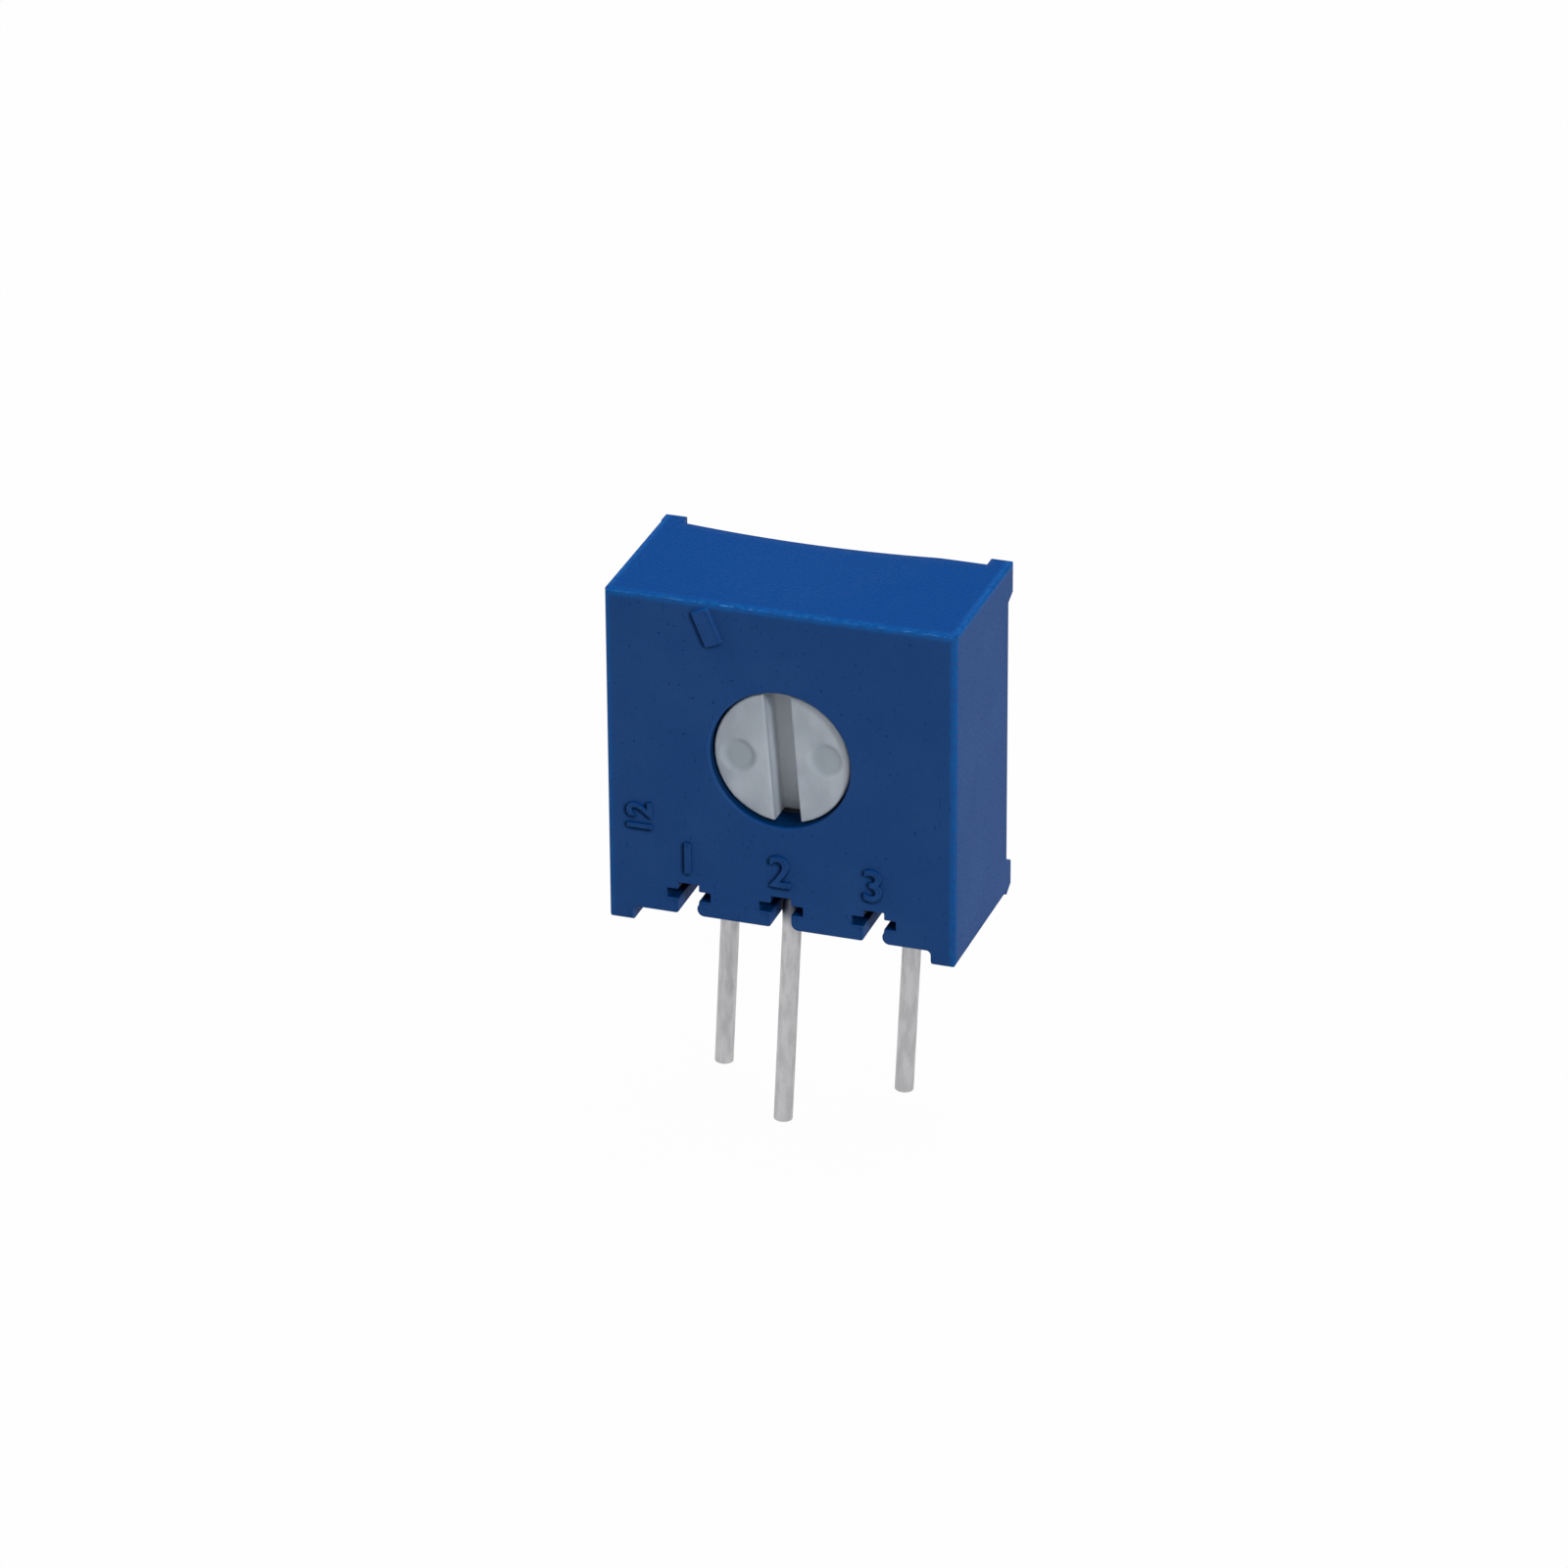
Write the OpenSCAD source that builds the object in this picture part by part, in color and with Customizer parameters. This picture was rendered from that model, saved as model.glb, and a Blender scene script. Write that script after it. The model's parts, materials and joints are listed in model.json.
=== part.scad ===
// Square single-turn trimmer potentiometer, adjusted from the side and standing on edge.
// The origin is on the axis of the middle lead, at the board plane. X runs along the row of
// leads, Y runs from the adjustment face to the back, and Z is up.

/* [Body] */
// Width of the housing
body_w = 9.53; // [9.3:0.01:11]
// Height of the housing above the board
body_h = 9.53; // [9.5:0.01:11]
// Depth from the adjustment face to the rear rim
body_d = 4.45; // [4.2:0.01:6]
// Thickness of the front wall
front_wall = 0.9; // [0.7:0.01:1]
// Thickness of the side walls
side_wall = 0.78; // [0.6:0.01:0.85]
// Thickness of the top wall
top_wall = 0.82; // [0.6:0.01:0.85]
// Height of the bottom wall that holds the grooves
bottom_wall = 1.32; // [1.2:0.01:1.4]
// Radius of the edges round the adjustment face
edge_r = 0.18; // [0.05:0.01:0.25]
// Radius of the upper corners seen from the front
corner_r = 0.08; // [0.04:0.01:0.2]
// Radius of the outer lower corner of each rail
foot_r = 0.18; // [0.04:0.01:0.25]
// Radius of the corners of the pocket
pocket_r = 0.35; // [0.1:0.01:0.6]
// How far the top wall sinks at the rear rim
rim_sag = 0.12; // [0.04:0.01:0.2]
// Half the width of that sink
sag_half = 3.5; // [2.5:0.1:3.5]
// How far the middle of the sink lies to the left
sag_left = 0.6; // [0:0.1:0.6]

/* [Rails] */
// Width of each rail that stands on the board
rail_w = 0.68; // [0.5:0.01:1]
// Height of the rails below the bottom wall
rail_h = 0.43; // [0.3:0.01:0.6]
// Radius in the corner between rail and bottom wall
rail_fillet = 0.12; // [0.04:0.01:0.25]

/* [Rear standoffs] */
// Width of each standoff
tab_w = 0.6; // [0.4:0.01:0.8]
// Height of each standoff
tab_h = 1.03; // [0.8:0.01:1.4]
// How far the standoffs reach behind the rear rim
tab_d = 0.38; // [0.2:0.01:0.6]
// How much the inner flanks slope in over that reach
tab_slope = 0.16; // [0:0.01:0.25]

/* [Grooves] */
// Width of the upright slot of each groove
groove_w = 0.56; // [0.54:0.01:0.64]
// Height of the upright slot
groove_h = 0.9; // [0.85:0.01:1]
// Width across the side arms of each groove
arm_w = 1.2; // [0.8:0.01:1.6]
// Height of the underside of the arms above the groove mouth
arm_low = 0.44; // [0.3:0.01:0.5]
// Height of the arms
arm_h = 0.26; // [0.15:0.01:0.35]
// Radius of the mouth corner on the left of each groove
mouth_r = 0.08; // [0.04:0.01:0.15]
// Radius of the nose on the right of each groove's mouth
mouth_round = 0.2; // [0.1:0.01:0.21]
// How far the nose reaches into the two outer grooves
mouth_nose = 0.05; // [0.02:0.01:0.08]

/* [Leads] */
// Diameter of the lead wire
lead_d = 0.51; // [0.45:0.01:0.52]
// Distance between the leads along the row
lead_pitch = 2.54; // [2.2:0.01:2.7]
// Distance from the middle lead back to the row of outer leads
row_gap = 2.54; // [2.48:0.01:2.6]
// Depth of the middle lead behind the adjustment face
lead_front = 0.91; // [0.85:0.01:1]
// Length of the leads below the board plane
lead_len = 5.7; // [3:0.1:12]
// How far the leads lean to the left
lead_lean = 2.8; // [0:0.1:4]
// Radius of the middle lead's bends, at the middle of the wire
bend_r = 0.42; // [0.35:0.01:0.5]
// Radius at the tip of each lead
tip_r = 0.1; // [0.03:0.01:0.2]
// Length of lead soldered to the back of the element
lead_lap = 1.3; // [0.8:0.1:2.5]

/* [Adjuster] */
// Height of the adjuster's axis above the board
axis_h = 5.29; // [5.2:0.01:5.4]
// Radius of the adjuster's head
head_r = 1.85; // [1.6:0.01:2.2]
// Radial clearance of the head in its hole
head_clear = 0.05; // [0.02:0.01:0.09]
// Depth of the head below the adjustment face
head_inset = 0.18; // [0.05:0.01:0.3]
// Radius of the lip round the hole
lip_r = 0.1; // [0.03:0.01:0.15]
// Radius of the rim of the head
rim_r = 0.06; // [0.02:0.01:0.15]
// Width of the driver slot
slot_w = 0.72; // [0.5:0.01:0.9]
// Depth of the driver slot
slot_deep = 0.8; // [0.4:0.01:0.9]
// Lean of the driver slot to the left of upright
slot_turn = 4.6; // [0:0.1:45]
// Radius of the two dimples beside the slot
dimple_r = 0.4; // [0.2:0.01:0.5]
// Distance of the dimples from the axis
dimple_at = 1.2; // [1.1:0.01:1.25]
// Depth of the dimples
dimple_deep = 0.12; // [0.05:0.01:0.3]
// Radius of the flange behind the front wall
flange_r = 2.9; // [2.6:0.01:3]
// Thickness of the flange
flange_t = 0.5; // [0.4:0.01:0.55]
// Turn from stop to stop
turn = 300; // [240:5:310]
// Half the angle that the flange's stop lug spans
lug_half = 12; // [8:1:14]
// Radius of the chamber that the flange turns in
chamber_r = 3.25; // [3.2:0.01:3.3]

/* [Seal] */
// Thickness of the sealing ring
seal_d = 0.46; // [0.4:0.01:0.5]

/* [Wiper] */
// Thickness of the wiper's spring sheet
sheet_t = 0.08; // [0.05:0.01:0.1]
// Width of each spring finger
finger_w = 0.28; // [0.2:0.01:0.35]
// Radius of the rotor boss that carries the wiper
boss_r = 0.6; // [0.5:0.01:0.7]
// Radius of the wiper's carrier disc
carrier_r = 1.35; // [1.2:0.01:1.5]

/* [Resistance element] */
// Thickness of the ceramic plate
plate_t = 0.62; // [0.5:0.01:0.64]
// Thickness of the printed films
film_t = 0.03; // [0.02:0.005:0.04]
// Radius of the middle of the resistance track
track_r = 2.62; // [2.5:0.01:2.7]
// Width of the resistance track
track_w = 0.6; // [0.4:0.01:0.8]
// Radius of the collector in the middle
collector_r = 0.85; // [0.6:0.01:1]
// Width of the pads at the lower edge
pad_w = 0.84; // [0.6:0.01:1]

/* [Filling] */
// Depth of the sealing compound below the rear rim
fill_inset = 0.2; // [0.1:0.01:0.4]

/* [Index bar] */
// Width of the raised bar beside the adjuster
bar_w = 0.48; // [0.2:0.01:0.8]
// Length of the bar
bar_l = 1.02; // [0.5:0.01:1.2]
// How far the bar stands proud
bar_t = 0.09; // [0.02:0.01:0.15]
// Lean of the bar to the left of upright
bar_lean = 23; // [0:1:45]
// Distance of the bar's middle to the left of the adjuster's axis
bar_left = 1.95; // [1.8:0.01:2.5]

/* [Hidden] */
$fn = 64;

// Overshoot of a cut past the face that it opens
over = 0.5;
// Gap between parts that only face each other
play = 0.01;
// Play between the turning flange, its lug and the stop
turn_play = 0.07;
// Length of each wiper finger that lies in the carrier's sheet
finger_root = 0.25;
// Spare angle before the lug meets the stop
stop_spare = 1;

lead_r = lead_d / 2;
hole_r = head_r + head_clear;
// Depths behind the adjustment face
flange_d = front_wall + seal_d + 2 * play;
carrier_d = flange_d + flange_t;
lead_d_back = lead_front + row_gap;
plate_back = lead_d_back - lead_r - film_t;
plate_front = plate_back - plate_t;
ledge_d = plate_front - film_t - play;
fill_back = body_d - fill_inset;
// Heights above the board
floor_h = rail_h + bottom_wall;
ceiling_h = body_h - top_wall;
run_h = rail_h + arm_low + arm_h / 2 + 0.02;
plate_low = floor_h + film_t + play;
lead_top = plate_low + lead_lap;
// Radius and height of the slight bend that ends at the board plane, and the length below it
lean_r = 3;
lean_h = lean_r * sin(lead_lean);
tail_len = lead_len / cos(lead_lean);
// Half widths
pocket_half = body_w / 2 - side_wall;
plate_half = pocket_half - play;
// Height and reach of the pads that lead from the track's ends to the lower edge
pad_leg = 0.5;
stop_half = 180 - turn / 2 - lug_half - stop_spare;

// Solid between two depths behind the adjustment face, from an outline in X and height
module slab(from_d, to_d) {
    translate([0, to_d - lead_front, 0]) rotate([90, 0, 0])
        linear_extrude(to_d - from_d) children();
}

// Turned solid on the adjuster's axis, from an outline in radius and depth
module turned() {
    translate([0, -lead_front, axis_h]) rotate([-90, 0, 0]) rotate_extrude() children();
}

// Outline of a ring sector round the adjuster's axis, upright or upside down
module sector_outline(r_in, r_out, half, up = 1) {
    translate([0, axis_h]) difference() {
        intersection() {
            circle(r_out);
            polygon([[0, 0], [-2 * r_out * tan(half), 2 * up * r_out], [2 * r_out * tan(half), 2 * up * r_out]]);
        }
        circle(r_in);
    }
}

// Turns the adjuster's pieces from mid travel to where they rest
module at_rest() {
    translate([0, 0, axis_h]) rotate([0, -slot_turn, 0]) translate([0, 0, -axis_h]) children();
}

// Rectangle from a low corner to a high corner, with round corners
module round_box(low, high, r) {
    size = high - low;
    translate(low + [r, 0]) square([size.x - 2 * r, size.y]);
    translate(low + [0, r]) square([size.x, size.y - 2 * r]);
    for (x = [low.x + r, high.x - r], y = [low.y + r, high.y - r]) translate([x, y]) circle(r);
}

// Sharp corner piece outside a quarter circle, for fillets and rounded mouths
module corner_piece(r) {
    difference() {
        translate([-play, -play]) square(r + play);
        translate([r, r]) circle(r);
    }
}

// Outer form: three rounded outlines that cross
module body_block() {
    intersection() {
        slab(0, body_d) front_outline();
        translate([0, 0, -over]) linear_extrude(body_h + 2 * over)
            round_front(-body_w / 2, body_w / 2, edge_r);
        translate([-body_w / 2 - over, 0, 0]) rotate([90, 0, 90])
            linear_extrude(body_w + 2 * over) side_outline();
    }
}

// Outline seen from the front, with one radius for the upper corners and one for the lower
module front_outline() {
    half = body_w / 2;
    intersection() {
        round_box([-half, -over], [half, body_h], corner_r);
        round_box([-half, 0], [half, body_h + over], foot_r);
    }
}

// Plan outline with round corners at the adjustment face only
module round_front(left, right, r) {
    translate([left, r - lead_front]) square([right - left, body_d - r]);
    translate([left + r, -lead_front]) square([right - left - 2 * r, r + play]);
    for (x = [left + r, right - r]) translate([x, r - lead_front]) circle(r);
}

// Side outline with round corners at the adjustment face only
module side_outline() {
    translate([edge_r - lead_front, 0]) square([body_d - edge_r, body_h]);
    translate([-lead_front, edge_r]) square([edge_r + play, body_h - 2 * edge_r]);
    for (z = [edge_r, body_h - edge_r]) translate([edge_r - lead_front, z]) circle(edge_r);
}

// Outline of the space between the rails
module recess_outline() {
    half = body_w / 2 - rail_w;
    difference() {
        translate([-half, -over]) square([2 * half, rail_h + over]);
        for (s = [-1, 1]) translate([s * half, rail_h]) flip_corner(-s, -1)
            corner_piece(rail_fillet);
    }
}

// Turns a corner piece into the quarter that the two signs name
module flip_corner(sx, sy) {
    mirror([sx < 0 ? 1 : 0, 0]) mirror([0, sy < 0 ? 1 : 0]) children();
}

// Plus-shaped outline of one groove, with a rounded mouth and a nose on its right
module groove_outline(x) {
    nose = x == 0 ? 0 : mouth_nose;
    reach = mouth_round - nose;
    translate([x, rail_h]) difference() {
        union() {
            translate([-groove_w / 2, -over]) square([groove_w, groove_h + over]);
            translate([-arm_w / 2, arm_low]) square([arm_w, arm_h]);
            translate([-groove_w / 2, 0]) flip_corner(-1, 1) corner_piece(mouth_r);
            translate([groove_w / 2 - play, -over]) square([reach + play, mouth_round + over]);
        }
        translate([groove_w / 2 + reach, mouth_round]) circle(mouth_round);
    }
}

// Standoff at one rear corner, with flanks that slope in
module standoff(s, low, high, slope_low, slope_high) {
    inner = body_w / 2 - tab_w;
    rear = body_d - lead_front;
    intersection() {
        translate([0, 0, low]) linear_extrude(high - low)
            polygon([[s * inner, rear - play], [s * body_w / 2, rear - play],
                     [s * body_w / 2, rear + tab_d], [s * (inner + tab_slope), rear + tab_d]]);
        translate([-body_w, 0, 0]) rotate([90, 0, 90]) linear_extrude(2 * body_w)
            polygon([[rear - play, low], [rear + tab_d, low + slope_low],
                     [rear + tab_d, high - slope_high], [rear - play, high]]);
    }
}

// Shallow sink in the top, deepest at the rear rim
module top_sink() {
    sink_r = (sag_half * sag_half / rim_sag + rim_sag) / 2;
    rear = body_d - lead_front;
    translate([-sag_left, rear, body_h - rim_sag]) rotate([-atan(rim_sag / body_d), 0, 0])
        translate([0, over, sink_r]) rotate([90, 0, 0]) cylinder(r = sink_r, h = body_d, $fn = 360);
}

// Raised bar on the adjustment face, beside the adjuster
module index_bar() {
    slab(-bar_t, edge_r) translate([-bar_left, body_h - bar_l / 2 - edge_r - play])
        rotate(bar_lean) round_box([-bar_w / 2, -bar_l / 2], [bar_w / 2, bar_l / 2], 0.05);
}

module housing() {
    color([0.04, 0.26, 0.5]) {
        difference() {
            union() {
                difference() {
                    body_block();
                    top_sink();
                }
                index_bar();
                for (s = [-1, 1]) {
                    standoff(s, body_h - tab_h, body_h, tab_slope, 0);
                    standoff(s, 0, tab_h, foot_r, tab_slope);
                }
            }
            slab(-over, body_d + tab_d + over) recess_outline();
            for (x = [-lead_pitch, 0, lead_pitch]) {
                slab(-over, body_d + over) groove_outline(x);
                // Way from the groove up into the pocket, behind the element's front
                slab(plate_front, body_d + over)
                    translate([x - groove_w / 2, run_h]) square([groove_w, bottom_wall]);
            }
            adjuster_hole();
            slab(ledge_d, body_d + over)
                round_box([-pocket_half, floor_h], [pocket_half, ceiling_h], pocket_r);
        }
    }
}

// Hole for the head with its rounded lip, and the chamber with the stop for the flange's lug
module adjuster_hole() {
    turned() {
        translate([0, -over]) square([hole_r, front_wall + 2 * over]);
        difference() {
            translate([0, -over]) square([hole_r + lip_r, over + lip_r]);
            translate([hole_r + lip_r, lip_r]) circle(lip_r);
        }
    }
    slab(front_wall, carrier_d) difference() {
        translate([0, axis_h]) circle(chamber_r);
        sector_outline(flange_r + turn_play, 2 * chamber_r, stop_half, -1);
    }
    slab(carrier_d, ledge_d + over) translate([0, axis_h]) circle(chamber_r);
}

// Outline of head and boss in radius and depth
module rotor_outline() {
    translate([0, head_inset]) square([head_r - rim_r, flange_d - head_inset]);
    translate([0, head_inset + rim_r]) square([head_r, flange_d - head_inset - rim_r]);
    translate([head_r - rim_r, head_inset + rim_r]) circle(rim_r);
    translate([0, flange_d - play]) square([boss_r, flange_t + 2 * sheet_t + play]);
}

module rotor() {
    color([0.58, 0.62, 0.65]) at_rest() {
        difference() {
            union() {
                turned() rotor_outline();
                // Flange with the lug that meets the stop
                slab(flange_d, carrier_d) {
                    translate([0, axis_h]) circle(flange_r);
                    sector_outline(flange_r - turn_play, chamber_r - turn_play, lug_half);
                }
            }
            // Driver slot, open at both ends
            slab(-over, head_inset + slot_deep) translate([-slot_w / 2, axis_h - head_r - play])
                square([slot_w, 2 * (head_r + play)]);
            for (s = [-1, 1]) slab(-over, head_inset + dimple_deep)
                translate([s * dimple_at, axis_h]) circle(dimple_r);
        }
    }
}

// Ring of round section between the front wall and the flange
module rotor_seal() {
    color([0.1, 0.1, 0.1]) turned()
        translate([head_r + seal_d / 2, front_wall + play + seal_d / 2]) circle(seal_d / 2);
}

// Spring finger in the plane of upright and depth, from the carrier to a bent contact
module finger(from_r, to_r, across) {
    tip_d = ledge_d - 2 * play;
    knee = 0.7 * to_r + 0.3 * from_r;
    root = carrier_d + sheet_t / 4;
    translate([across - finger_w / 2, -lead_front, axis_h]) rotate([90, 0, 90])
        linear_extrude(finger_w) {
            polygon([[root, from_r], [root + sheet_t / 2, from_r], [tip_d, knee],
                     [tip_d, to_r], [tip_d - sheet_t, to_r], [tip_d - sheet_t, knee]]);
        }
}

module wiper_contact() {
    fan = finger_w + 0.08;
    color([0.78, 0.62, 0.3]) at_rest() {
        difference() {
            turned() translate([boss_r, carrier_d]) square([carrier_r - boss_r, sheet_t]);
            slab(carrier_d - over, carrier_d + over)
                translate([-boss_r / 2, axis_h - carrier_r - over]) square([boss_r, carrier_r + over]);
        }
        for (side = [-1, 0, 1]) finger(carrier_r - finger_root, track_r + 0.15, side * fan);
        for (side = [-1, 1]) finger(boss_r + finger_root, 0.1, side * fan / 2);
    }
}

module ceramic_plate() {
    color([0.93, 0.92, 0.88]) slab(plate_front, plate_back)
        round_box([-plate_half, plate_low], [plate_half, ceiling_h - play], pocket_r);
}

// Horseshoe outline, open at the bottom
module track_outline() {
    translate([0, axis_h]) difference() {
        circle(track_r + track_w / 2);
        circle(track_r - track_w / 2);
        polygon([[0, 0], [-4 * chamber_r * tan(180 - turn / 2), -4 * chamber_r],
                 [4 * chamber_r * tan(180 - turn / 2), -4 * chamber_r]]);
    }
}

module resistance_track() {
    color([0.13, 0.12, 0.12]) slab(plate_front - film_t, plate_front) track_outline();
}

// Film round the lower edge of the ceramic and up its back, under one lead
module wrap_print(x) {
    slab(plate_front - film_t, plate_back + film_t)
        translate([x - pad_w / 2, plate_low - film_t]) square([pad_w, film_t]);
    slab(plate_back, plate_back + film_t)
        translate([x - pad_w / 2, plate_low - play]) square([pad_w, lead_lap + 0.2]);
}

// Conductor from one end of the track to its lead
module end_print(s) {
    end_x = track_r * sin(180 - turn / 2);
    end_h = axis_h - track_r * cos(180 - turn / 2);
    inner = end_x - pad_leg / 2;
    color([0.75, 0.75, 0.72]) {
        slab(plate_front - film_t, plate_front) difference() {
            union() {
                translate([s > 0 ? inner : -inner - pad_leg, plate_low]) square([pad_leg, end_h - plate_low]);
                translate([s > 0 ? inner : -lead_pitch - pad_w / 2, plate_low - play])
                    square([lead_pitch + pad_w / 2 - inner, pad_leg]);
            }
            track_outline();
        }
        wrap_print(s * lead_pitch);
    }
}

module end_print_1() { end_print(-1); }

module end_print_3() { end_print(1); }

module collector_print() {
    color([0.75, 0.75, 0.72]) {
        slab(plate_front - film_t, plate_front) {
            translate([0, axis_h]) circle(collector_r);
            translate([-pad_leg / 2, plate_low - play]) square([pad_leg, axis_h - plate_low]);
        }
        wrap_print(0);
    }
}

// Part of a lead below the board plane, leaning to the left, with a rounded tip
module lead_tail() {
    translate([-lean_r, 0, lean_h]) {
        rotate([-90, 0, 0]) rotate_extrude(angle = lead_lean) translate([lean_r, 0]) circle(lead_r);
        rotate([0, lead_lean, 0]) translate([lean_r, 0, -tail_len]) rotate_extrude() {
            translate([0, tip_r]) square([lead_r, tail_len - tip_r]);
            square([lead_r - tip_r, tail_len]);
            translate([lead_r - tip_r, tip_r]) circle(tip_r);
        }
    }
}

// Outer lead: straight up from the board to the back of the ceramic
module outer_lead(x) {
    color([0.68, 0.68, 0.7]) translate([x, lead_d_back - lead_front, 0]) {
        lead_tail();
        translate([0, 0, lean_h]) cylinder(r = lead_r, h = lead_top - lean_h);
    }
}

module lead_1() { outer_lead(-lead_pitch); }

module lead_3() { outer_lead(lead_pitch); }

// Quarter bend of wire in the plane of depth and height
module wire_bend(turned_by) {
    rotate([90, 0, 90]) rotate([0, 0, turned_by]) rotate_extrude(angle = 90)
        translate([bend_r, 0]) circle(lead_r);
}

// Middle lead: up from the board, back through the groove and up behind the ceramic
module lead_2() {
    color([0.68, 0.68, 0.7]) {
        lead_tail();
        translate([0, 0, lean_h]) cylinder(r = lead_r, h = run_h - bend_r - lean_h);
        translate([0, bend_r, run_h - bend_r]) wire_bend(90);
        translate([0, bend_r, run_h]) rotate([-90, 0, 0])
            cylinder(r = lead_r, h = row_gap - 2 * bend_r);
        translate([0, row_gap - bend_r, run_h + bend_r]) wire_bend(270);
        translate([0, row_gap, run_h + bend_r]) cylinder(r = lead_r, h = lead_top - run_h - bend_r);
    }
}

// Cone-ended lump of solder round a lead, on the pad behind the ceramic
module solder(x) {
    lump_r = pad_w / 2;
    low = plate_low + 0.15;
    color([0.78, 0.78, 0.8]) intersection() {
        difference() {
            translate([x, row_gap, 0]) rotate_extrude()
                polygon([[0, low], [lead_r, low], [lump_r, low + 0.25],
                         [lump_r, lead_top - 0.15], [lead_r, lead_top + 0.1], [0, lead_top + 0.1]]);
            translate([x, row_gap, 0]) cylinder(r = lead_r, h = lead_top);
        }
        slab(plate_back + film_t, fill_back) translate([x - pad_w, low - play])
            square([2 * pad_w, lead_lap + 1]);
    }
}

module solder_1() { solder(-lead_pitch); }

module solder_2() { solder(0); }

module solder_3() { solder(lead_pitch); }

// Cast resin behind the ceramic, which also fills the ways down into the grooves
module sealing_compound() {
    low = run_h;
    color([0.85, 0.8, 0.68]) difference() {
        slab(plate_back + film_t, fill_back) {
            round_box([-pocket_half, floor_h], [pocket_half, ceiling_h], pocket_r);
            for (x = [-lead_pitch, 0, lead_pitch])
                translate([x - groove_w / 2, low]) square([groove_w, floor_h + pocket_r - low]);
        }
        for (x = [-lead_pitch, 0, lead_pitch]) translate([x, row_gap, 0]) {
            cylinder(r = lead_r + play, h = lead_top + play);
            rotate_extrude() polygon([[0, plate_low], [lead_r, plate_low], [pad_w / 2 + play, plate_low + 0.4],
                                      [pad_w / 2 + play, lead_top - 0.15], [lead_r, lead_top + 0.1 + play],
                                      [0, lead_top + 0.1 + play]]);
        }
        // Clearance for the middle lead's bend
        slab(plate_back, plate_back + lead_d)
            translate([-groove_w / 2, low - over]) square([groove_w, bend_r + over]);
    }
}

housing();
rotor();
rotor_seal();
wiper_contact();
ceramic_plate();
resistance_track();
collector_print();
end_print_1();
end_print_3();
lead_1();
lead_2();
lead_3();
solder_1();
solder_2();
solder_3();
sealing_compound();
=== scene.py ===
"""Looks of a square single-turn trimmer potentiometer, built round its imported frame.

Places are in millimetres until a mesh is made, and metres after that. X runs along the row of
leads, Y from the adjustment face to the back, and Z up, with the middle lead at the origin.
"""

from __future__ import annotations

import json
import logging
import math
from collections.abc import Iterable
from dataclasses import dataclass, field
from enum import Enum
from functools import partial, reduce

import bmesh
import bpy
from mathutils import Matrix, Vector, noise
from mathutils.bvhtree import BVHTree

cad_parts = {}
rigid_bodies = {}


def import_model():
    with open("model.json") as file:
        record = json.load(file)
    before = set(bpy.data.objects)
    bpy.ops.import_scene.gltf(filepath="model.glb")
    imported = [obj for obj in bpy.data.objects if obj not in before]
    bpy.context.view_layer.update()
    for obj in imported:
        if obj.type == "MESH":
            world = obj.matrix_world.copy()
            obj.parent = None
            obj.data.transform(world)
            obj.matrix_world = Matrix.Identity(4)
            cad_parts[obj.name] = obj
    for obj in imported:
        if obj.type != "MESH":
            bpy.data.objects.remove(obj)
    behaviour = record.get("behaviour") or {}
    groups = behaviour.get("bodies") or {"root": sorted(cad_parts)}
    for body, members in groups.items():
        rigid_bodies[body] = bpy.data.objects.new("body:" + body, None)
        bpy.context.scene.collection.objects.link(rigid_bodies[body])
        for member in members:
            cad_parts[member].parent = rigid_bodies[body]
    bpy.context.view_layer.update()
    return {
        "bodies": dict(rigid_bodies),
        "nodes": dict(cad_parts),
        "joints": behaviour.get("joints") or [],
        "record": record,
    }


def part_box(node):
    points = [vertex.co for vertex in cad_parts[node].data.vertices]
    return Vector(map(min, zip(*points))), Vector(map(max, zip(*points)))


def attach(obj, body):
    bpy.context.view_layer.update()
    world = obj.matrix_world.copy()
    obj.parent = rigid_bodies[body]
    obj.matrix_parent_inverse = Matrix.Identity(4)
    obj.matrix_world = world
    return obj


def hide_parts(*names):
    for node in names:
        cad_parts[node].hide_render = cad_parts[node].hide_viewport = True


MM = 0.001
CASE = "case"
ADJUSTER = "adjuster"

log = logging.getLogger("trimmer")

Colour = tuple[float, float, float]
Span = tuple[float, float]
Socket = bpy.types.NodeSocket
Node = bpy.types.Node
Material = bpy.types.Material
Piece = bpy.types.Object
Form = bmesh.types.BMesh
Point = bmesh.types.BMVert
Edge = bmesh.types.BMEdge
Face = bmesh.types.BMFace


class Slot(Enum):
    """Names of the record's material slots."""

    HOUSING = "housing_plastic"
    ROTOR = "rotor_plastic"
    WIRE = "tinned_wire"
    RESIN = "resin"


@dataclass(frozen=True)
class Layout:
    """Places that several pieces share, in millimetres."""

    half_w: float
    face_y: float
    rear_y: float
    top_z: float
    tip_z: float
    axis_z: float

    BAR_PROUD = 0.09
    TAB_REACH = 0.38
    PITCH = 2.54

    @classmethod
    def from_frame(cls, frame: dict) -> Layout:
        """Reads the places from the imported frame.


        Returns:
            The layout in millimetres.
        """
        low, high = (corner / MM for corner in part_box("housing"))
        return cls(
            half_w=high.x,
            face_y=low.y + cls.BAR_PROUD,
            rear_y=high.y - cls.TAB_REACH,
            top_z=high.z,
            tip_z=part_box("lead_2")[0].z / MM,
            axis_z=frame["joints"][0]["pos_m"][2] / MM,
        )

    def behind(self, g: Paint) -> Socket:
        """Distance of a point behind the adjustment face, worked out in a material."""
        return g.math("SUBTRACT", g.place("Y"), self.face_y)

    def inset(self, g: Paint) -> Socket:
        """Distance of a point from the nearer side wall, worked out in a material."""
        return g.math("SUBTRACT", self.half_w, g.math("ABSOLUTE", g.place("X")))


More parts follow.
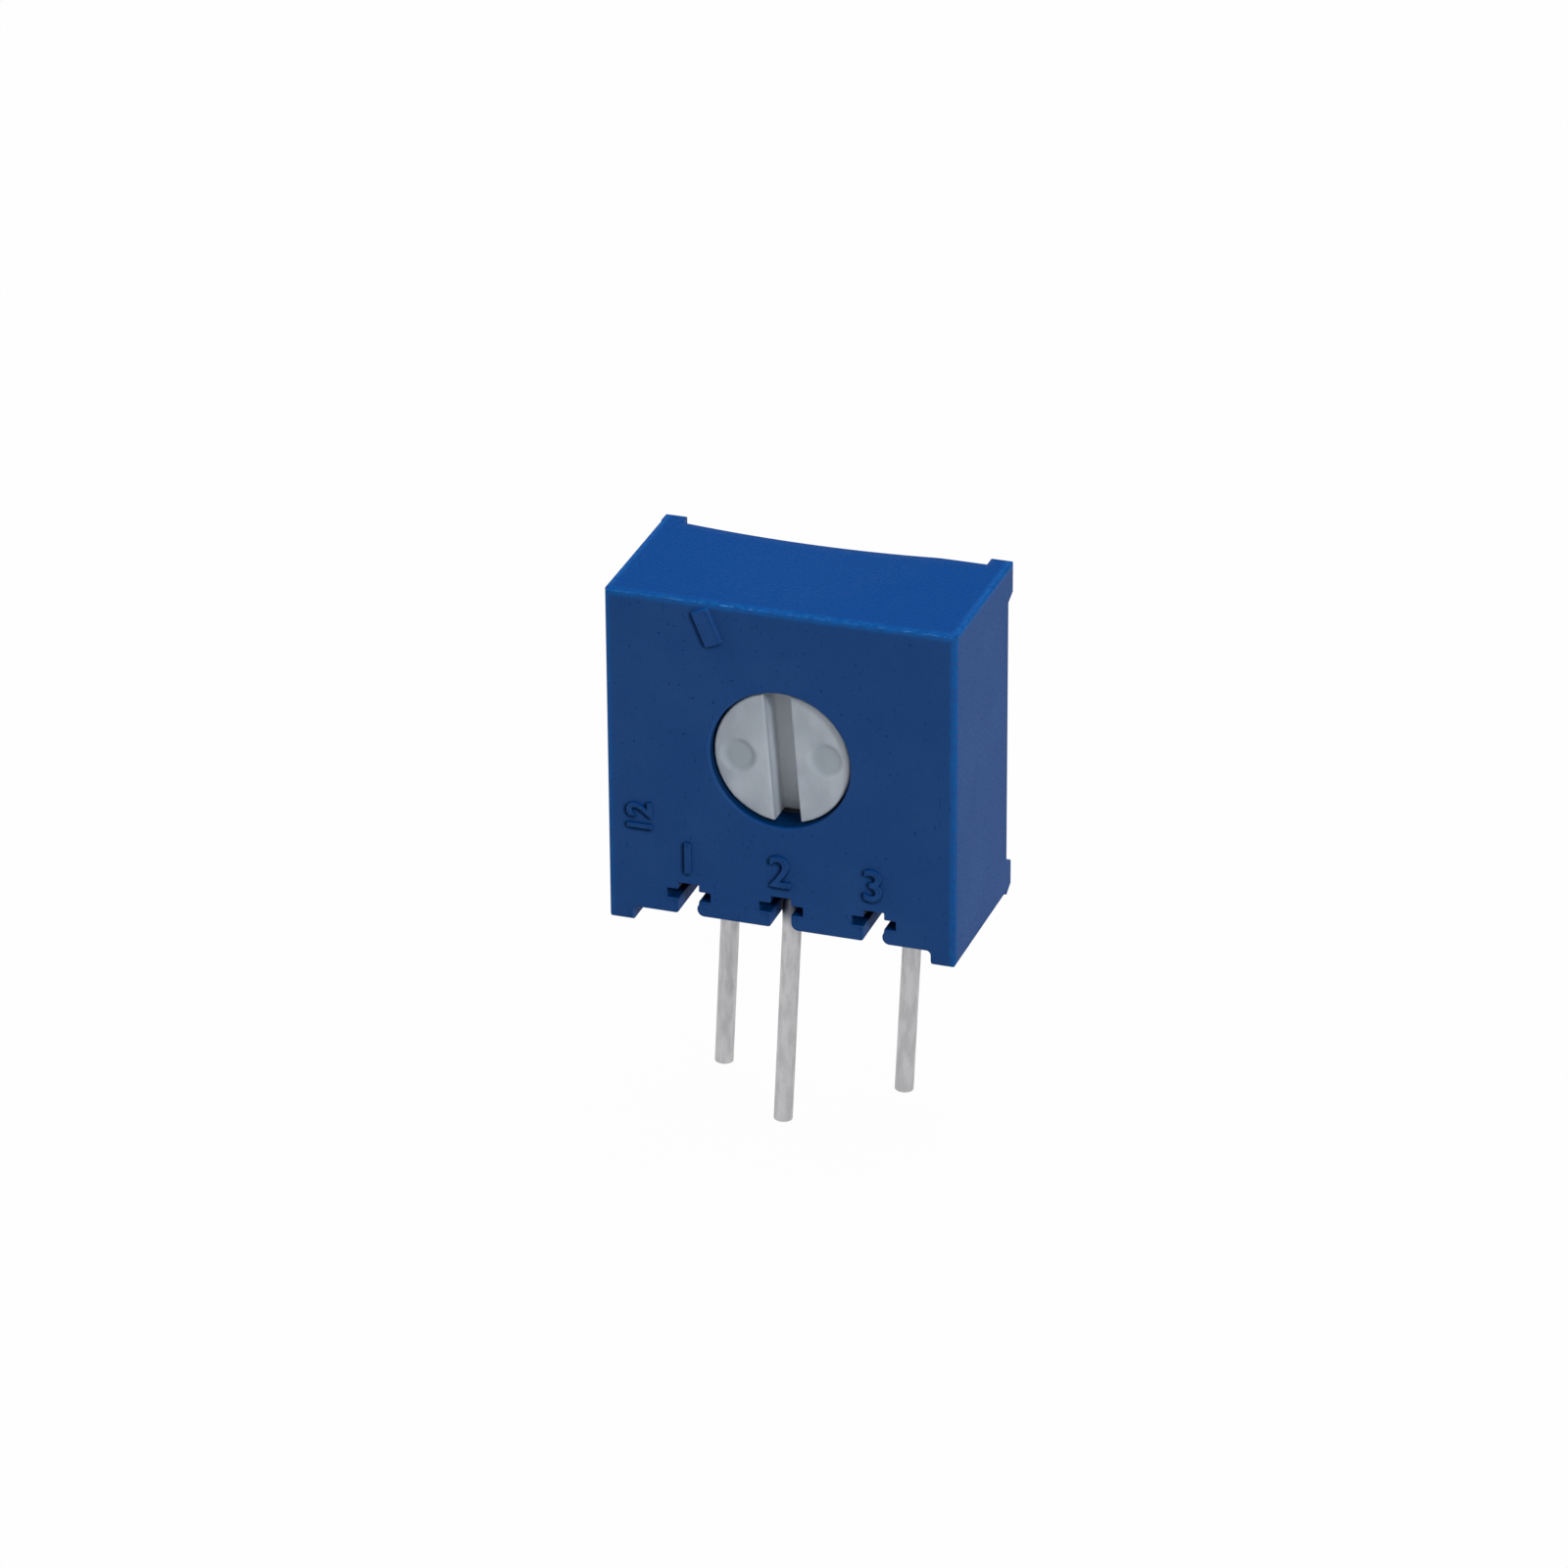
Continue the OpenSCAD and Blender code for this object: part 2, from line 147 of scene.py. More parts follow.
class Graph:
    """Short hand for the nodes of one tree."""

    def __init__(self, tree: bpy.types.NodeTree) -> None:
        """Empties a node tree to fill it anew."""
        self.tree = tree
        self.tree.nodes.clear()

    def put(self, socket: Socket, value: object) -> None:
        """Links a socket, or sets its constant.

        Args:
            socket: the socket to feed.
            value: another socket, a node whose first output is meant, or a constant.
        """
        if isinstance(value, Node):
            value = value.outputs[0]
        if isinstance(value, Socket):
            self.tree.links.new(value, socket)
        else:
            socket.default_value = value

    def add(self, kind: str, *values: object, **settings: object) -> Node:
        """Adds a node and fills it in.

        Args:
            kind: the node's type.
            values: its first inputs in order, each as put() takes it.
            settings: its properties in small letters, and other inputs with a capital letter
                and with underscores for spaces.

        Returns:
            The new node.
        """
        node = self.tree.nodes.new(kind)
        for socket, value in zip(node.inputs, values):
            self.put(socket, value)
        for name, value in settings.items():
            if name.islower():
                setattr(node, name, value)
            else:
                self.put(node.inputs[name.replace("_", " ")], value)
        return node

    def math(self, operation: str, *values: object) -> Socket:
        """Adds a math node for an operation on values, and returns its result."""
        return self.add("ShaderNodeMath", *values, operation=operation).outputs[0]

    def times(self, *values: object) -> object:
        """Product of values."""
        return reduce(partial(self.math, "MULTIPLY"), values)

    def ramp(self, value: Socket, span: Span, to: Span = (0, 1)) -> Socket:
        """Maps the two ends of a span, and what lies between, smoothly to two other values."""
        ends = dict(zip(("From_Min", "From_Max", "To_Min", "To_Max"), (*span, *to)))
        return self.add("ShaderNodeMapRange", value, interpolation_type="SMOOTHSTEP", **ends).outputs[0]


class Paint(Graph):
    """The nodes of one material, with object coordinates in millimetres."""

    def __init__(self, name: str) -> None:
        """Makes a material with an output, and with places on its object.

        Args:
            name: the material's name.
        """
        self.material = bpy.data.materials.new(name)
        self.material.use_nodes = True
        super().__init__(self.material.node_tree)
        self.output = self.add("ShaderNodeOutputMaterial")
        self.own = self.add("ShaderNodeTexCoord").outputs
        self.point = self.add("ShaderNodeMapping", Vector=self.own["Object"], Scale=(1 / MM,) * 3)

    def place(self, axis: str) -> Socket:
        """Where a point lies along an axis."""
        return self.add("ShaderNodeSeparateXYZ", Vector=self.point).outputs[axis]

    def facing(self, axis: str) -> Socket:
        """How far the surface, without its bumps, faces along an axis."""
        return self.add("ShaderNodeSeparateXYZ", Vector=self.own["Normal"]).outputs[axis]

    def noise(self, scale: float, detail: float = 4.0, stretch: Colour = (1, 1, 1)) -> Socket:
        """Adds a pattern around one half, with its scale per millimetre, octaves and stretch."""
        place = self.add("ShaderNodeMapping", Vector=self.point, Scale=stretch)
        return self.add("ShaderNodeTexNoise", Vector=place, Scale=scale, Detail=detail).outputs[0]

    def mix(self, under: object, over: object, *shares: object) -> Socket:
        """Lays one colour over another.

        Args:
            under: the colour below, a triple or a socket.
            over: the colour above.
            shares: how far the upper one covers, as a product.

        Returns:
            The mixed colour.
        """
        node = self.add("ShaderNodeMix", data_type="RGBA", Factor=self.times(*shares))
        for socket, colour in zip(node.inputs[6:8], (under, over)):
            self.put(socket, (*colour, 1) if isinstance(colour, tuple) else colour)
        return node.outputs[2]

    def bumps(self, *layers: tuple[Socket, float]) -> Socket:
        """Adds bumps on top of each other.

        Args:
            layers: patterns with their depths in millimetres, the coarsest first.

        Returns:
            The bumped normal.
        """
        below = {}
        for height, depth in layers:
            node = self.add("ShaderNodeBump", Height=height, Distance=depth * MM, **below)
            below = {"Normal": node}
        return node.outputs[0]

    def surface(self, **inputs: object) -> Material:
        """Ends the material in a Principled shader with these inputs."""
        self.put(self.output.inputs["Surface"], self.add("ShaderNodeBsdfPrincipled", **inputs))
        return self.material


@dataclass(frozen=True)
class HousingPlastic:
    """Blue moulded plastic: a clean top, lighter walls for painted sheen, painted highlights on the edges and
    in dashes along the top edge, and painted shade in the relief, grooves and hole.

    A span holds the distances in millimetres between which a mark comes in from nothing to full.
    """

    layout: Layout
    clean: Colour = (0.0003, 0.062, 0.28)
    # painted sheen: the walls' colour is lighter and greyer than the top's
    hazy: Colour = (0.022, 0.085, 0.285)
    dusty: Colour = (0.03, 0.1, 0.31)
    pitted: Colour = (0.004, 0.045, 0.18)
    # painted shade on the relief's flanks, in the grooves, at the hole's wall and beside the relief
    grime: Colour = (0.001, 0.022, 0.075)
    # painted highlights on the rounded outer edges and along the top edge
    edge: Colour = (0.01, 0.125, 0.44)
    speck: Colour = (0.08, 0.28, 0.66)
    worn_within: Span = (0.25, 0.06)
    scuffed_within: Span = (0.08, 0.056)
    flank_root: Span = (0.004, -0.012)
    flank_top: Span = (-0.08, -0.055)
    groove_inset: Span = (0.6, 0.8)
    groove_mouth: Span = (0.72, 0.92)
    groove_roof: Span = (1.6, 1.5)
    hole_radius: float = 1.9
    hole_grime: Span = (0.03, 0.0)
    hole_clear: Span = (0.25, 0.35)
    edge_clear: Span = (0.2, 0.3)
    shade_reach: float = 0.16
    shade_side: Colour = (0.5, -0.6, 0.62)

    def edge_distance(self, g: Paint) -> tuple[Socket, Socket]:
        """Measures how near a point is to the housing's outer edges.

        Args:
            g: the material's graph.

        Returns:
            Distance to the nearest outer edge, and to the top edge of the adjustment face.
        """
        across, behind = self.layout.inset(g), self.layout.behind(g)
        below = g.math("SUBTRACT", self.layout.top_z, g.place("Z"))
        wider = g.math("MINIMUM", g.math("MAXIMUM", across, behind), below)
        nearest = g.math("MAXIMUM", g.math("MINIMUM", across, behind), wider)
        return nearest, g.math("MAXIMUM", behind, below)

    def past_hole(self, g: Paint) -> Socket:
        """Measures how far a point is from the wall of the adjuster's hole.

        Args:
            g: the material's graph.

        Returns:
            The distance in millimetres.
        """
        place = (g.place("X"), 0, g.math("SUBTRACT", g.place("Z"), self.layout.axis_z))
        away = g.add("ShaderNodeVectorMath", g.add("ShaderNodeCombineXYZ", *place), operation="LENGTH")
        return g.math("SUBTRACT", away.outputs["Value"], self.hole_radius)

    def flank(self, g: Paint) -> Socket:
        """Finds the flanks of the relief on the face, where painted shade goes.

        Args:
            g: the material's graph.

        Returns:
            One on the left and lower flanks, and less on the others.
        """
        unlit = g.ramp(g.math("ADD", g.facing("X"), g.facing("Z")), (0.4, -0.4), (0.2, 1))
        ends = (g.ramp(self.layout.behind(g), span) for span in (self.flank_root, self.flank_top))
        return g.times(unlit, *ends)

    def shaded(self, g: Paint, nearest: Socket, past_hole: Socket) -> Socket:
        """Finds where painted shadow goes on the face, at the lower left of what stands proud of it.

        Args:
            g: the material's graph.
            nearest: distance to the nearest outer edge.
            past_hole: distance from the hole's wall.

        Returns:
            One in the deepest shade, and nought away from the relief.
        """
        side = g.add("ShaderNodeCombineXYZ", *self.shade_side)
        around = g.add("ShaderNodeAmbientOcclusion", Distance=self.shade_reach * MM, Normal=side)
        return g.times(
            g.ramp(g.facing("Y"), (-0.9, -0.98)),
            g.ramp(nearest, self.edge_clear),
            g.ramp(past_hole, self.hole_clear),
            g.ramp(around.outputs["AO"], (0.95, 0.6)),
        )

    def in_groove(self, g: Paint) -> Socket:
        """Finds the walls and roofs of the grooves above their mouths, where painted shade goes.

        Args:
            g: the material's graph.

        Returns:
            One on them, and nought elsewhere.
        """
        ends = (g.ramp(g.place("Z"), span) for span in (self.groove_mouth, self.groove_roof))
        sideways = g.ramp(g.math("ABSOLUTE", g.facing("Y")), (0.6, 0.3))
        return g.times(sideways, g.ramp(self.layout.inset(g), self.groove_inset), *ends)

    def ground(self, g: Paint) -> Socket:
        """Lays the plastic's colours, with painted sheen on the walls.

        Args:
            g: the material's graph.

        Returns:
            The clean colour on top, and on the walls a lighter, greyer one for painted sheen, with dusty
            patches and pits.
        """
        walls = g.ramp(g.facing("Z"), (0.85, 0.35))
        dust = g.ramp(g.noise(0.45, 4), (0.42, 0.72), (0, 0.55))
        # painted sheen: the walls take the lighter, greyer colour
        dusted = g.mix(g.mix(self.clean, self.hazy, walls), self.dusty, walls, dust)
        return g.mix(dusted, self.pitted, walls, g.ramp(g.noise(7.5, 3), (0.63, 0.74), (0, 0.6)))

    def build(self) -> Material:
        """Makes the material.

        Returns:
            The material.
        """
        g = Paint("blue_moulding")
        nearest, top_edge = self.edge_distance(g)
        past_hole = self.past_hole(g)
        grain = g.noise(13, 6)
        highlight_breaks = g.ramp(g.noise(6, 7), (0.36, 0.6), (0.45, 1))
        patches = g.ramp(g.noise(0.8, 3), (0.4, 0.58), (0.15, 1))
        top_highlight_breaks = g.ramp(g.noise(11, 10, (0.6, 1, 1)), (0.44, 0.58))
        highlit, top_highlit = g.ramp(nearest, self.worn_within), g.ramp(top_edge, self.scuffed_within)
        # painted highlight on the rounded outer edges, broken up by noise
        colour = g.mix(self.ground(g), self.edge, highlit, highlight_breaks, 0.85)
        # painted highlight in broken dashes along the rounded top edge of the adjustment face
        colour = g.mix(colour, self.speck, top_highlit, top_highlight_breaks, patches, 0.8)
        # painted shade: darker on the relief's unlit flanks, in the grooves, at the hole's wall and at the
        # lower left of the relief
        for share, strength in (
            (self.flank(g), 0.8),
            (self.in_groove(g), 0.75),
            (g.ramp(past_hole, self.hole_grime), 0.85),
            (self.shaded(g, nearest, past_hole), 0.8),
        ):
            colour = g.mix(colour, self.grime, share, strength)
        return g.surface(
            Base_Color=colour,
            Roughness=g.ramp(grain, (0.3, 0.7), (0.44, 0.58)),
            Specular_IOR_Level=0.04,
            Specular_Tint=(0.25, 0.55, 1.0, 1.0),
            Normal=g.bumps((g.noise(1.1, 4), 0.014), (grain, 0.011), (g.noise(42, 3), 0.0018)),
        )


@dataclass(frozen=True)
class RotorPlastic:
    """Pale grey moulded plastic with faint flow marks, a lighter slot floor for painted light and darker
    dimples for painted shade.

    The spans are depths below the adjustment face, in millimetres.
    """

    layout: Layout
    colour: Colour = (0.585, 0.645, 0.72)
    shade: Colour = (0.455, 0.515, 0.585)
    # painted light: the slot floor is lighter
    dust: Colour = (0.7, 0.73, 0.76)
    # painted shade in the dimples
    dimple: Colour = (0.42, 0.48, 0.54)
    slot_floor: Span = (0.4, 1.1)
    dimple_wall: Span = (0.19, 0.27)
    dimple_end: Span = (0.42, 0.36)

    def build(self) -> Material:
        """Makes the material.

        Returns:
            The material.
        """
        g = Paint("pale_moulding")
        depth = self.layout.behind(g)
        dimple = g.times(g.ramp(depth, self.dimple_wall), g.ramp(depth, self.dimple_end))
        flow = g.ramp(g.noise(0.9, 5, (1, 1, 0.6)), (0.38, 0.66))
        speckle = g.ramp(g.noise(11, 4), (0.62, 0.78))
        colour = g.mix(self.colour, self.shade, flow)
        # painted shade: darker in the dimples
        colour = g.mix(colour, self.dimple, dimple, 0.8)
        colour = g.mix(colour, self.shade, speckle, 0.35)
        return g.surface(
            # painted light: lighter towards the slot floor
            Base_Color=g.mix(colour, self.dust, g.ramp(depth, self.slot_floor), 0.9),
            Roughness=g.ramp(g.noise(6, 4), (0.3, 0.7), (0.42, 0.56)),
            Specular_IOR_Level=0.4,
            Subsurface_Weight=0.08,
            Subsurface_Scale=0.2 * MM,
            Normal=g.bumps((g.noise(1.6, 3), 0.01), (g.noise(16, 5), 0.004)),
        )


@dataclass(frozen=True)
class DullMetal:
    """Dull metal with mottling drawn out along Z, for wire, solder, silver prints and spring.

    It darkens above the height shadow_from, in millimetres, where one is given.
    """

    name: str
    colour: Colour
    stain: Colour
    roughness: Span = (0.42, 0.6)
    drawn: float = 0.35
    relief: float = 0.006
    shadow_from: float | None = None
    shadow_rise: float = 0.5
    shadow: Colour = (0.1, 0.115, 0.15)

    def build(self) -> Material:
        """Makes the material.

        Returns:
            The material.
        """
        g = Paint(self.name)
        stretch = (1, 1, self.drawn)
        mottle = g.ramp(g.noise(5.5, 6, stretch), (0.36, 0.68))
        pits = g.ramp(g.noise(22, 5, (1, 1, 0.6)), (0.5, 0.66))
        colour = g.mix(g.mix(self.colour, self.stain, mottle), self.stain, pits, 0.5)
        if self.shadow_from is not None:
            rise = (self.shadow_from, self.shadow_from + self.shadow_rise)
            colour = g.mix(colour, self.shadow, g.ramp(g.place("Z"), rise, (0, 0.85)))
        return g.surface(
            Base_Color=colour,
            Metallic=1.0,
            Roughness=g.ramp(mottle, (0, 1), self.roughness),
            Normal=g.bumps((g.noise(3.2, 4, stretch), 2 * self.relief), (g.noise(24, 4), self.relief / 2)),
        )


@dataclass(frozen=True)
class FineSolid:
    """Plain non-metal with a fine mottle, for ceramic, film, rubber and resin."""

    name: str
    colour: Colour
    shade: Colour
    roughness: float
    grain: float
    relief: float

    def build(self) -> Material:
        """Makes the material.

        Returns:
            The material.
        """
        g = Paint(self.name)
        return g.surface(
            Base_Color=g.mix(self.colour, self.shade, g.ramp(g.noise(self.grain, 5), (0.35, 0.68))),
            Roughness=self.roughness,
            Normal=g.bumps((g.noise(2 * self.grain, 4), self.relief)),
        )


def add_object(name: str, data: bpy.types.ID) -> Piece:
    """Links a new object to the scene, at the origin.

    Args:
        name: the object's name.
        data: its mesh, curve, lamp or camera.

    Returns:
        The object.
    """
    obj = bpy.data.objects.new(name, data)
    bpy.context.scene.collection.objects.link(obj)
    return obj


def mesh_object(name: str, form: Form) -> Piece:
    """Turns a form into a mesh object.

    Args:
        name: the object's name, and its mesh's.
        form: the form, which is freed.

    Returns:
        The object.
    """
    mesh = bpy.data.meshes.new(name)
    form.to_mesh(mesh)
    form.free()
    return add_object(name, mesh)


def smooth(mesh: bpy.types.Mesh, angle: float = 50.0) -> None:
    """Shades a mesh smooth, apart from edges sharper than an angle in degrees."""
    mesh.shade_smooth()
    mesh.set_sharp_from_angle(angle=math.radians(angle))


def dress(obj: Piece, material: Material) -> None:
    """Gives an object one material."""
    obj.data.materials.clear()
    obj.data.materials.append(material)


def enrol(obj: Piece, material: Material, body: str, node: str = "") -> None:
    """Dresses a new piece, makes it ride on a body and lets it stand for a node.

    Args:
        obj: the finished piece.
        material: the finish.
        body: the CAD body that it moves with.
        node: the CAD node that it replaces, if it does.
    """
    dress(obj, material)
    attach(obj, body)
    if node:
        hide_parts(node)
    log.info("%s rides on %s with %d faces", obj.name, body, len(obj.data.polygons))


def freeze(obj: Piece) -> Piece:
    """Turns an object with its modifiers, or a text, into a plain mesh object of the same name.

    Args:
        obj: the object.

    Returns:
        The new object, with no modifiers.
    """
    graph = bpy.context.evaluated_depsgraph_get()
    mesh = bpy.data.meshes.new_from_object(obj.evaluated_get(graph))
    name = obj.name
    bpy.data.objects.remove(obj)
    mesh.name = name
    return add_object(name, mesh)


def flatten_shading(obj: Piece) -> Piece:
    """Shades an object smooth with its large flat faces kept flat.

    Args:
        obj: a mesh object with rounded edges.

    Returns:
        The new object, with its shading kept in its mesh.
    """
    smooth(obj.data)
    shading = obj.modifiers.new("flat faces", "WEIGHTED_NORMAL")
    shading.mode = "FACE_AREA"
    shading.weight = 100
    shading.keep_sharp = True
    return freeze(obj)


def join_rings(form: Form, first: list, second: list) -> None:
    """Joins two closed rings of as many points with a band of faces."""
    for corners in zip(first, first[1:] + first[:1], second[1:] + second[:1], second):
        form.faces.new(corners)


def whole(faces: Iterable[Face]) -> list:
    """Some faces with their points and edges."""
    faces = list(faces)
    return [*{v for f in faces for v in f.verts}, *{e for f in faces for e in f.edges}, *faces]


@dataclass
class SoftenedMoulding:
    """A CAD moulding remade with rounded edges."""

    node: str
    edge_width: float
    segments: int = 2
    weld: float = 0.0002
    flat_angle: float = 0.04
    sharp_angle: float = 38.0
    chain_angle: float = 150.0
    stray_share: float = 0.6
    sliver: float = 0.002

    def merged(self) -> Form:
        """Copies the node's mesh and merges its loose triangles.

        Returns:
            The merged mesh.
        """
        form = bmesh.new()
        form.from_mesh(bpy.data.objects[self.node].data)
        bmesh.ops.remove_doubles(form, verts=form.verts, dist=self.weld * MM)
        return form

    def in_chain(self, vert: Point, sharp: set[Edge]) -> bool:
        """Tells whether two sharp edges run on smoothly at a point.

        Args:
            vert: the point.
            sharp: all sharp edges.

        Returns:
            True where just two of them meet, in line.
        """
        edges = [edge for edge in vert.link_edges if edge in sharp]
        if len(edges) != 2:
            return False
        first, second = (edge.other_vert(vert).co - vert.co for edge in edges)
        return first.angle(second, 0) > math.radians(self.chain_angle)

    def rounded_edges(self, form: Form) -> list[Edge]:
        """Chooses the sharp edges that are long, or that run on smoothly at both ends.

        Args:
            form: the merged mesh with its flats dissolved.

        Returns:
            The edges to round.
        """
        limit = math.radians(self.sharp_angle)
        sharp = {e for e in form.edges if len(e.link_faces) == 2 and e.calc_face_angle(0) > limit}
        least = 3 * self.edge_width * MM
        return [e for e in sharp if e.calc_length() > least or all(self.in_chain(v, sharp) for v in e.verts)]

    def refine(self, form: Form) -> None:
        """Changes the merged mesh before its edges are rounded; a plain moulding needs nothing."""

    def softened(self) -> Form:
        """Rounds the chosen edges and puts stray points back on the moulding's surface.

        Returns:
            The finished form.
        """
        form = self.merged()
        low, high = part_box(self.node)
        bmesh.ops.dissolve_degenerate(form, dist=self.sliver * MM, edges=form.edges)
        flat = math.radians(self.flat_angle)
        bmesh.ops.dissolve_limit(form, angle_limit=flat, verts=form.verts, edges=form.edges)
        self.refine(form)
        surface = BVHTree.FromBMesh(form)
        edges = sorted(self.rounded_edges(form), key=lambda edge: edge.index)
        bmesh.ops.bevel(
            form, geom=edges, offset=self.edge_width * MM, offset_type="OFFSET", profile=0.5,
            segments=self.segments, affect="EDGES", clamp_overlap=False, miter_outer="SHARP",
        )
        for vert in form.verts:
            place, _, _, away = surface.find_nearest(vert.co)
            if away > self.stray_share * self.edge_width * MM:
                vert.co = place
            vert.co = [min(max(vert.co[i], low[i]), high[i]) for i in range(3)]
        bmesh.ops.recalc_face_normals(form, faces=form.faces)
        return form


@dataclass(kw_only=True)
class HousingShell(SoftenedMoulding):
    """The housing, with one smooth hollow in its top, upright standoffs and sharp hidden edges."""

    layout: Layout
    material: Material
    node: str = "housing"
    edge_width: float = 0.03
    front_round: float = 0.18
    side_round: float = 0.08
    seam: float = 0.01
    tab_width: float = 0.6
    tab_zone: Span = (0.3, 0.65)
    foot_corner: Span = (0.13, 0.19)
    foot_low: float = 0.01
    lip_reach: float = 2.06
    wall: float = 0.6
    floor_z: float = 1.5
    front_wall: float = 0.95
    sag: float = 0.12
    sag_half: float = 3.5
    sag_left: float = 0.6
    body_depth: float = 4.45
    grid: float = 0.4
    blend: float = 0.012
    front_share: float = 0.84
    side_share: float = 0.98
    top_share: float = 1.5
    upright: float = 0.9

    def sink(self, x: float, y: float) -> float:
        """Works out the depth of the hollow below the top.

        Args:
            x: place along the row of leads.
            y: place from front to back.

        Returns:
            The depth, which eases to nought at the hollow's ends.
        """
        curve = (self.sag_half**2 / self.sag + self.sag) / 2
        tilt = (self.layout.rear_y - y) * self.sag / self.body_depth
        deep = self.sag - (x + self.sag_left) ** 2 / (2 * curve) - tilt
        if abs(deep) < self.blend:
            return (deep + self.blend) ** 2 / (4 * self.blend)
        return max(deep, 0)

    def at_rear(self, vert: Point) -> bool:
        """Tells whether a point lies behind the seam in front of the standoffs."""
        return vert.co.y > (self.layout.rear_y - 2 * self.seam) * MM

    def inward(self, vert: Point) -> float:
        """Distance of a point from the nearer side wall, in millimetres."""
        return self.layout.half_w - abs(vert.co.x) / MM

    def underfoot(self, form: Form, side: int) -> list[Point]:
        """Lists the points at the rear of one foot's underside."""
        low = [vert for vert in form.verts if vert.co.z < self.foot_low * MM]
        return [vert for vert in low if self.at_rear(vert) and vert.co.x * side > 0]

    def merged(self) -> Form:
        """Copies the housing, squares its standoffs and closes the slivers at its feet.

        Returns:
            The merged mesh.
        """
        form = super().merged()
        low, high = self.tab_zone
        inner = (self.layout.half_w - self.tab_width) * MM
        for vert in form.verts:
            if self.at_rear(vert) and low < self.inward(vert) < high:
                vert.co.x = math.copysign(inner, vert.co.x)
        for side in (-1, 1):
            self.close_foot(form, side, Vector((side * inner, 0, 0)))
        flaps = [face for face in form.faces if any(len(edge.link_faces) == 1 for edge in face.edges)]
        bmesh.ops.delete(form, geom=flaps, context="FACES")
        return form

    def close_foot(self, form: Form, side: int, flank: Vector) -> None:
        """Welds the slivers where one foot's standoff meets the rounded rail.

        Args:
            form: the merged housing.
            side: -1 for the left foot, 1 for the right one.
            flank: a point in the plane of the standoff's inner flank.
        """
        near = {face for vert in self.underfoot(form, side) for face in vert.link_faces}
        bmesh.ops.bisect_plane(form, geom=whole(near), plane_co=flank, plane_no=(1, 0, 0))
        low, high = self.foot_corner
        corner = [vert for vert in self.underfoot(form, side) if low < self.inward(vert) < high]
        bmesh.ops.pointmerge(form, verts=corner, merge_co=corner[0].co)
        reach = self.seam * MM
        beside = [vert for vert in self.underfoot(form, side) if abs(vert.co.x - flank.x) < reach]
        bmesh.ops.remove_doubles(form, verts=beside, dist=reach)

    def hidden(self, edge: Edge) -> bool:
        """Tells whether an edge stays sharp.

        Args:
            edge: a sharp edge.

        Returns:
            True inside the housing, on the hole's lip and in the standoffs' seam.
        """
        place = (edge.verts[0].co + edge.verts[1].co) / (2 * MM)
        rear = self.layout.rear_y
        inside = (
            self.layout.face_y + self.front_wall < place.y < rear - 2 * self.seam
            and abs(place.x) < self.layout.half_w - self.wall
            and self.floor_z < place.z < self.layout.top_z - self.wall
        )
        lip = math.hypot(place.x, place.z - self.layout.axis_z) < self.lip_reach
        in_seam = all(abs(v.co.y / MM - rear + self.seam) < self.seam / 5 for v in edge.verts)
        return inside or lip or in_seam

    def rounded_edges(self, form: Form) -> list[Edge]:
        """Chooses the sharp edges that can be seen."""
        return [edge for edge in super().rounded_edges(form) if not self.hidden(edge)]

    def on_top(self, face: Face) -> bool:
        """Tells whether a face belongs to the top.

        Args:
            face: the face.

        Returns:
            False for the rest of the housing and for the rounded edges round the top.
        """
        front = (self.layout.face_y + self.front_share * self.front_round) * MM
        low = (self.layout.top_z - self.top_share * self.sag) * MM
        side = self.side_share * self.side_round
        step = not any(self.at_rear(vert) for vert in face.verts)
        return (face.normal.z > self.upright or step) and all(
            v.co.z > low and v.co.y > front and (self.inward(v) > side or self.at_rear(v)) for v in face.verts
        )

    def refine(self, form: Form) -> None:
        """Makes the top one face, cuts it into a grid and sets that to the smooth hollow's height.

        Args:
            form: the merged housing.
        """
        form.normal_update()
        bmesh.ops.dissolve_faces(form, faces=[face for face in form.faces if self.on_top(face)])
        face_y, rear, half_w = self.layout.face_y, self.layout.rear_y, self.layout.half_w
        for axis, low, high in ((0, -half_w, half_w), (1, face_y, rear)):
            count = round((high - low) / self.grid)
            for i in range(1, count):
                spot, way = Vector(), Vector()
                spot[axis], way[axis] = (low + (high - low) * i / count) * MM, 1
                top = whole(face for face in form.faces if self.on_top(face))
                bmesh.ops.bisect_plane(form, geom=top, plane_co=spot, plane_no=way)
        for vert in {vert for face in form.faces if self.on_top(face) for vert in face.verts}:
            x, y = vert.co.x / MM, vert.co.y / MM
            flat = self.inward(vert) > self.side_round and y > face_y + self.front_round
            level = (self.layout.top_z - self.sink(x, y)) * MM
            if y < rear + self.seam:
                vert.co.z = level if flat else min(vert.co.z, level)

    def build(self) -> None:
        """Makes the housing and lets it stand for its node."""
        shell = flatten_shading(mesh_object("housing_shell", self.softened()))
        enrol(shell, self.material, CASE, self.node)


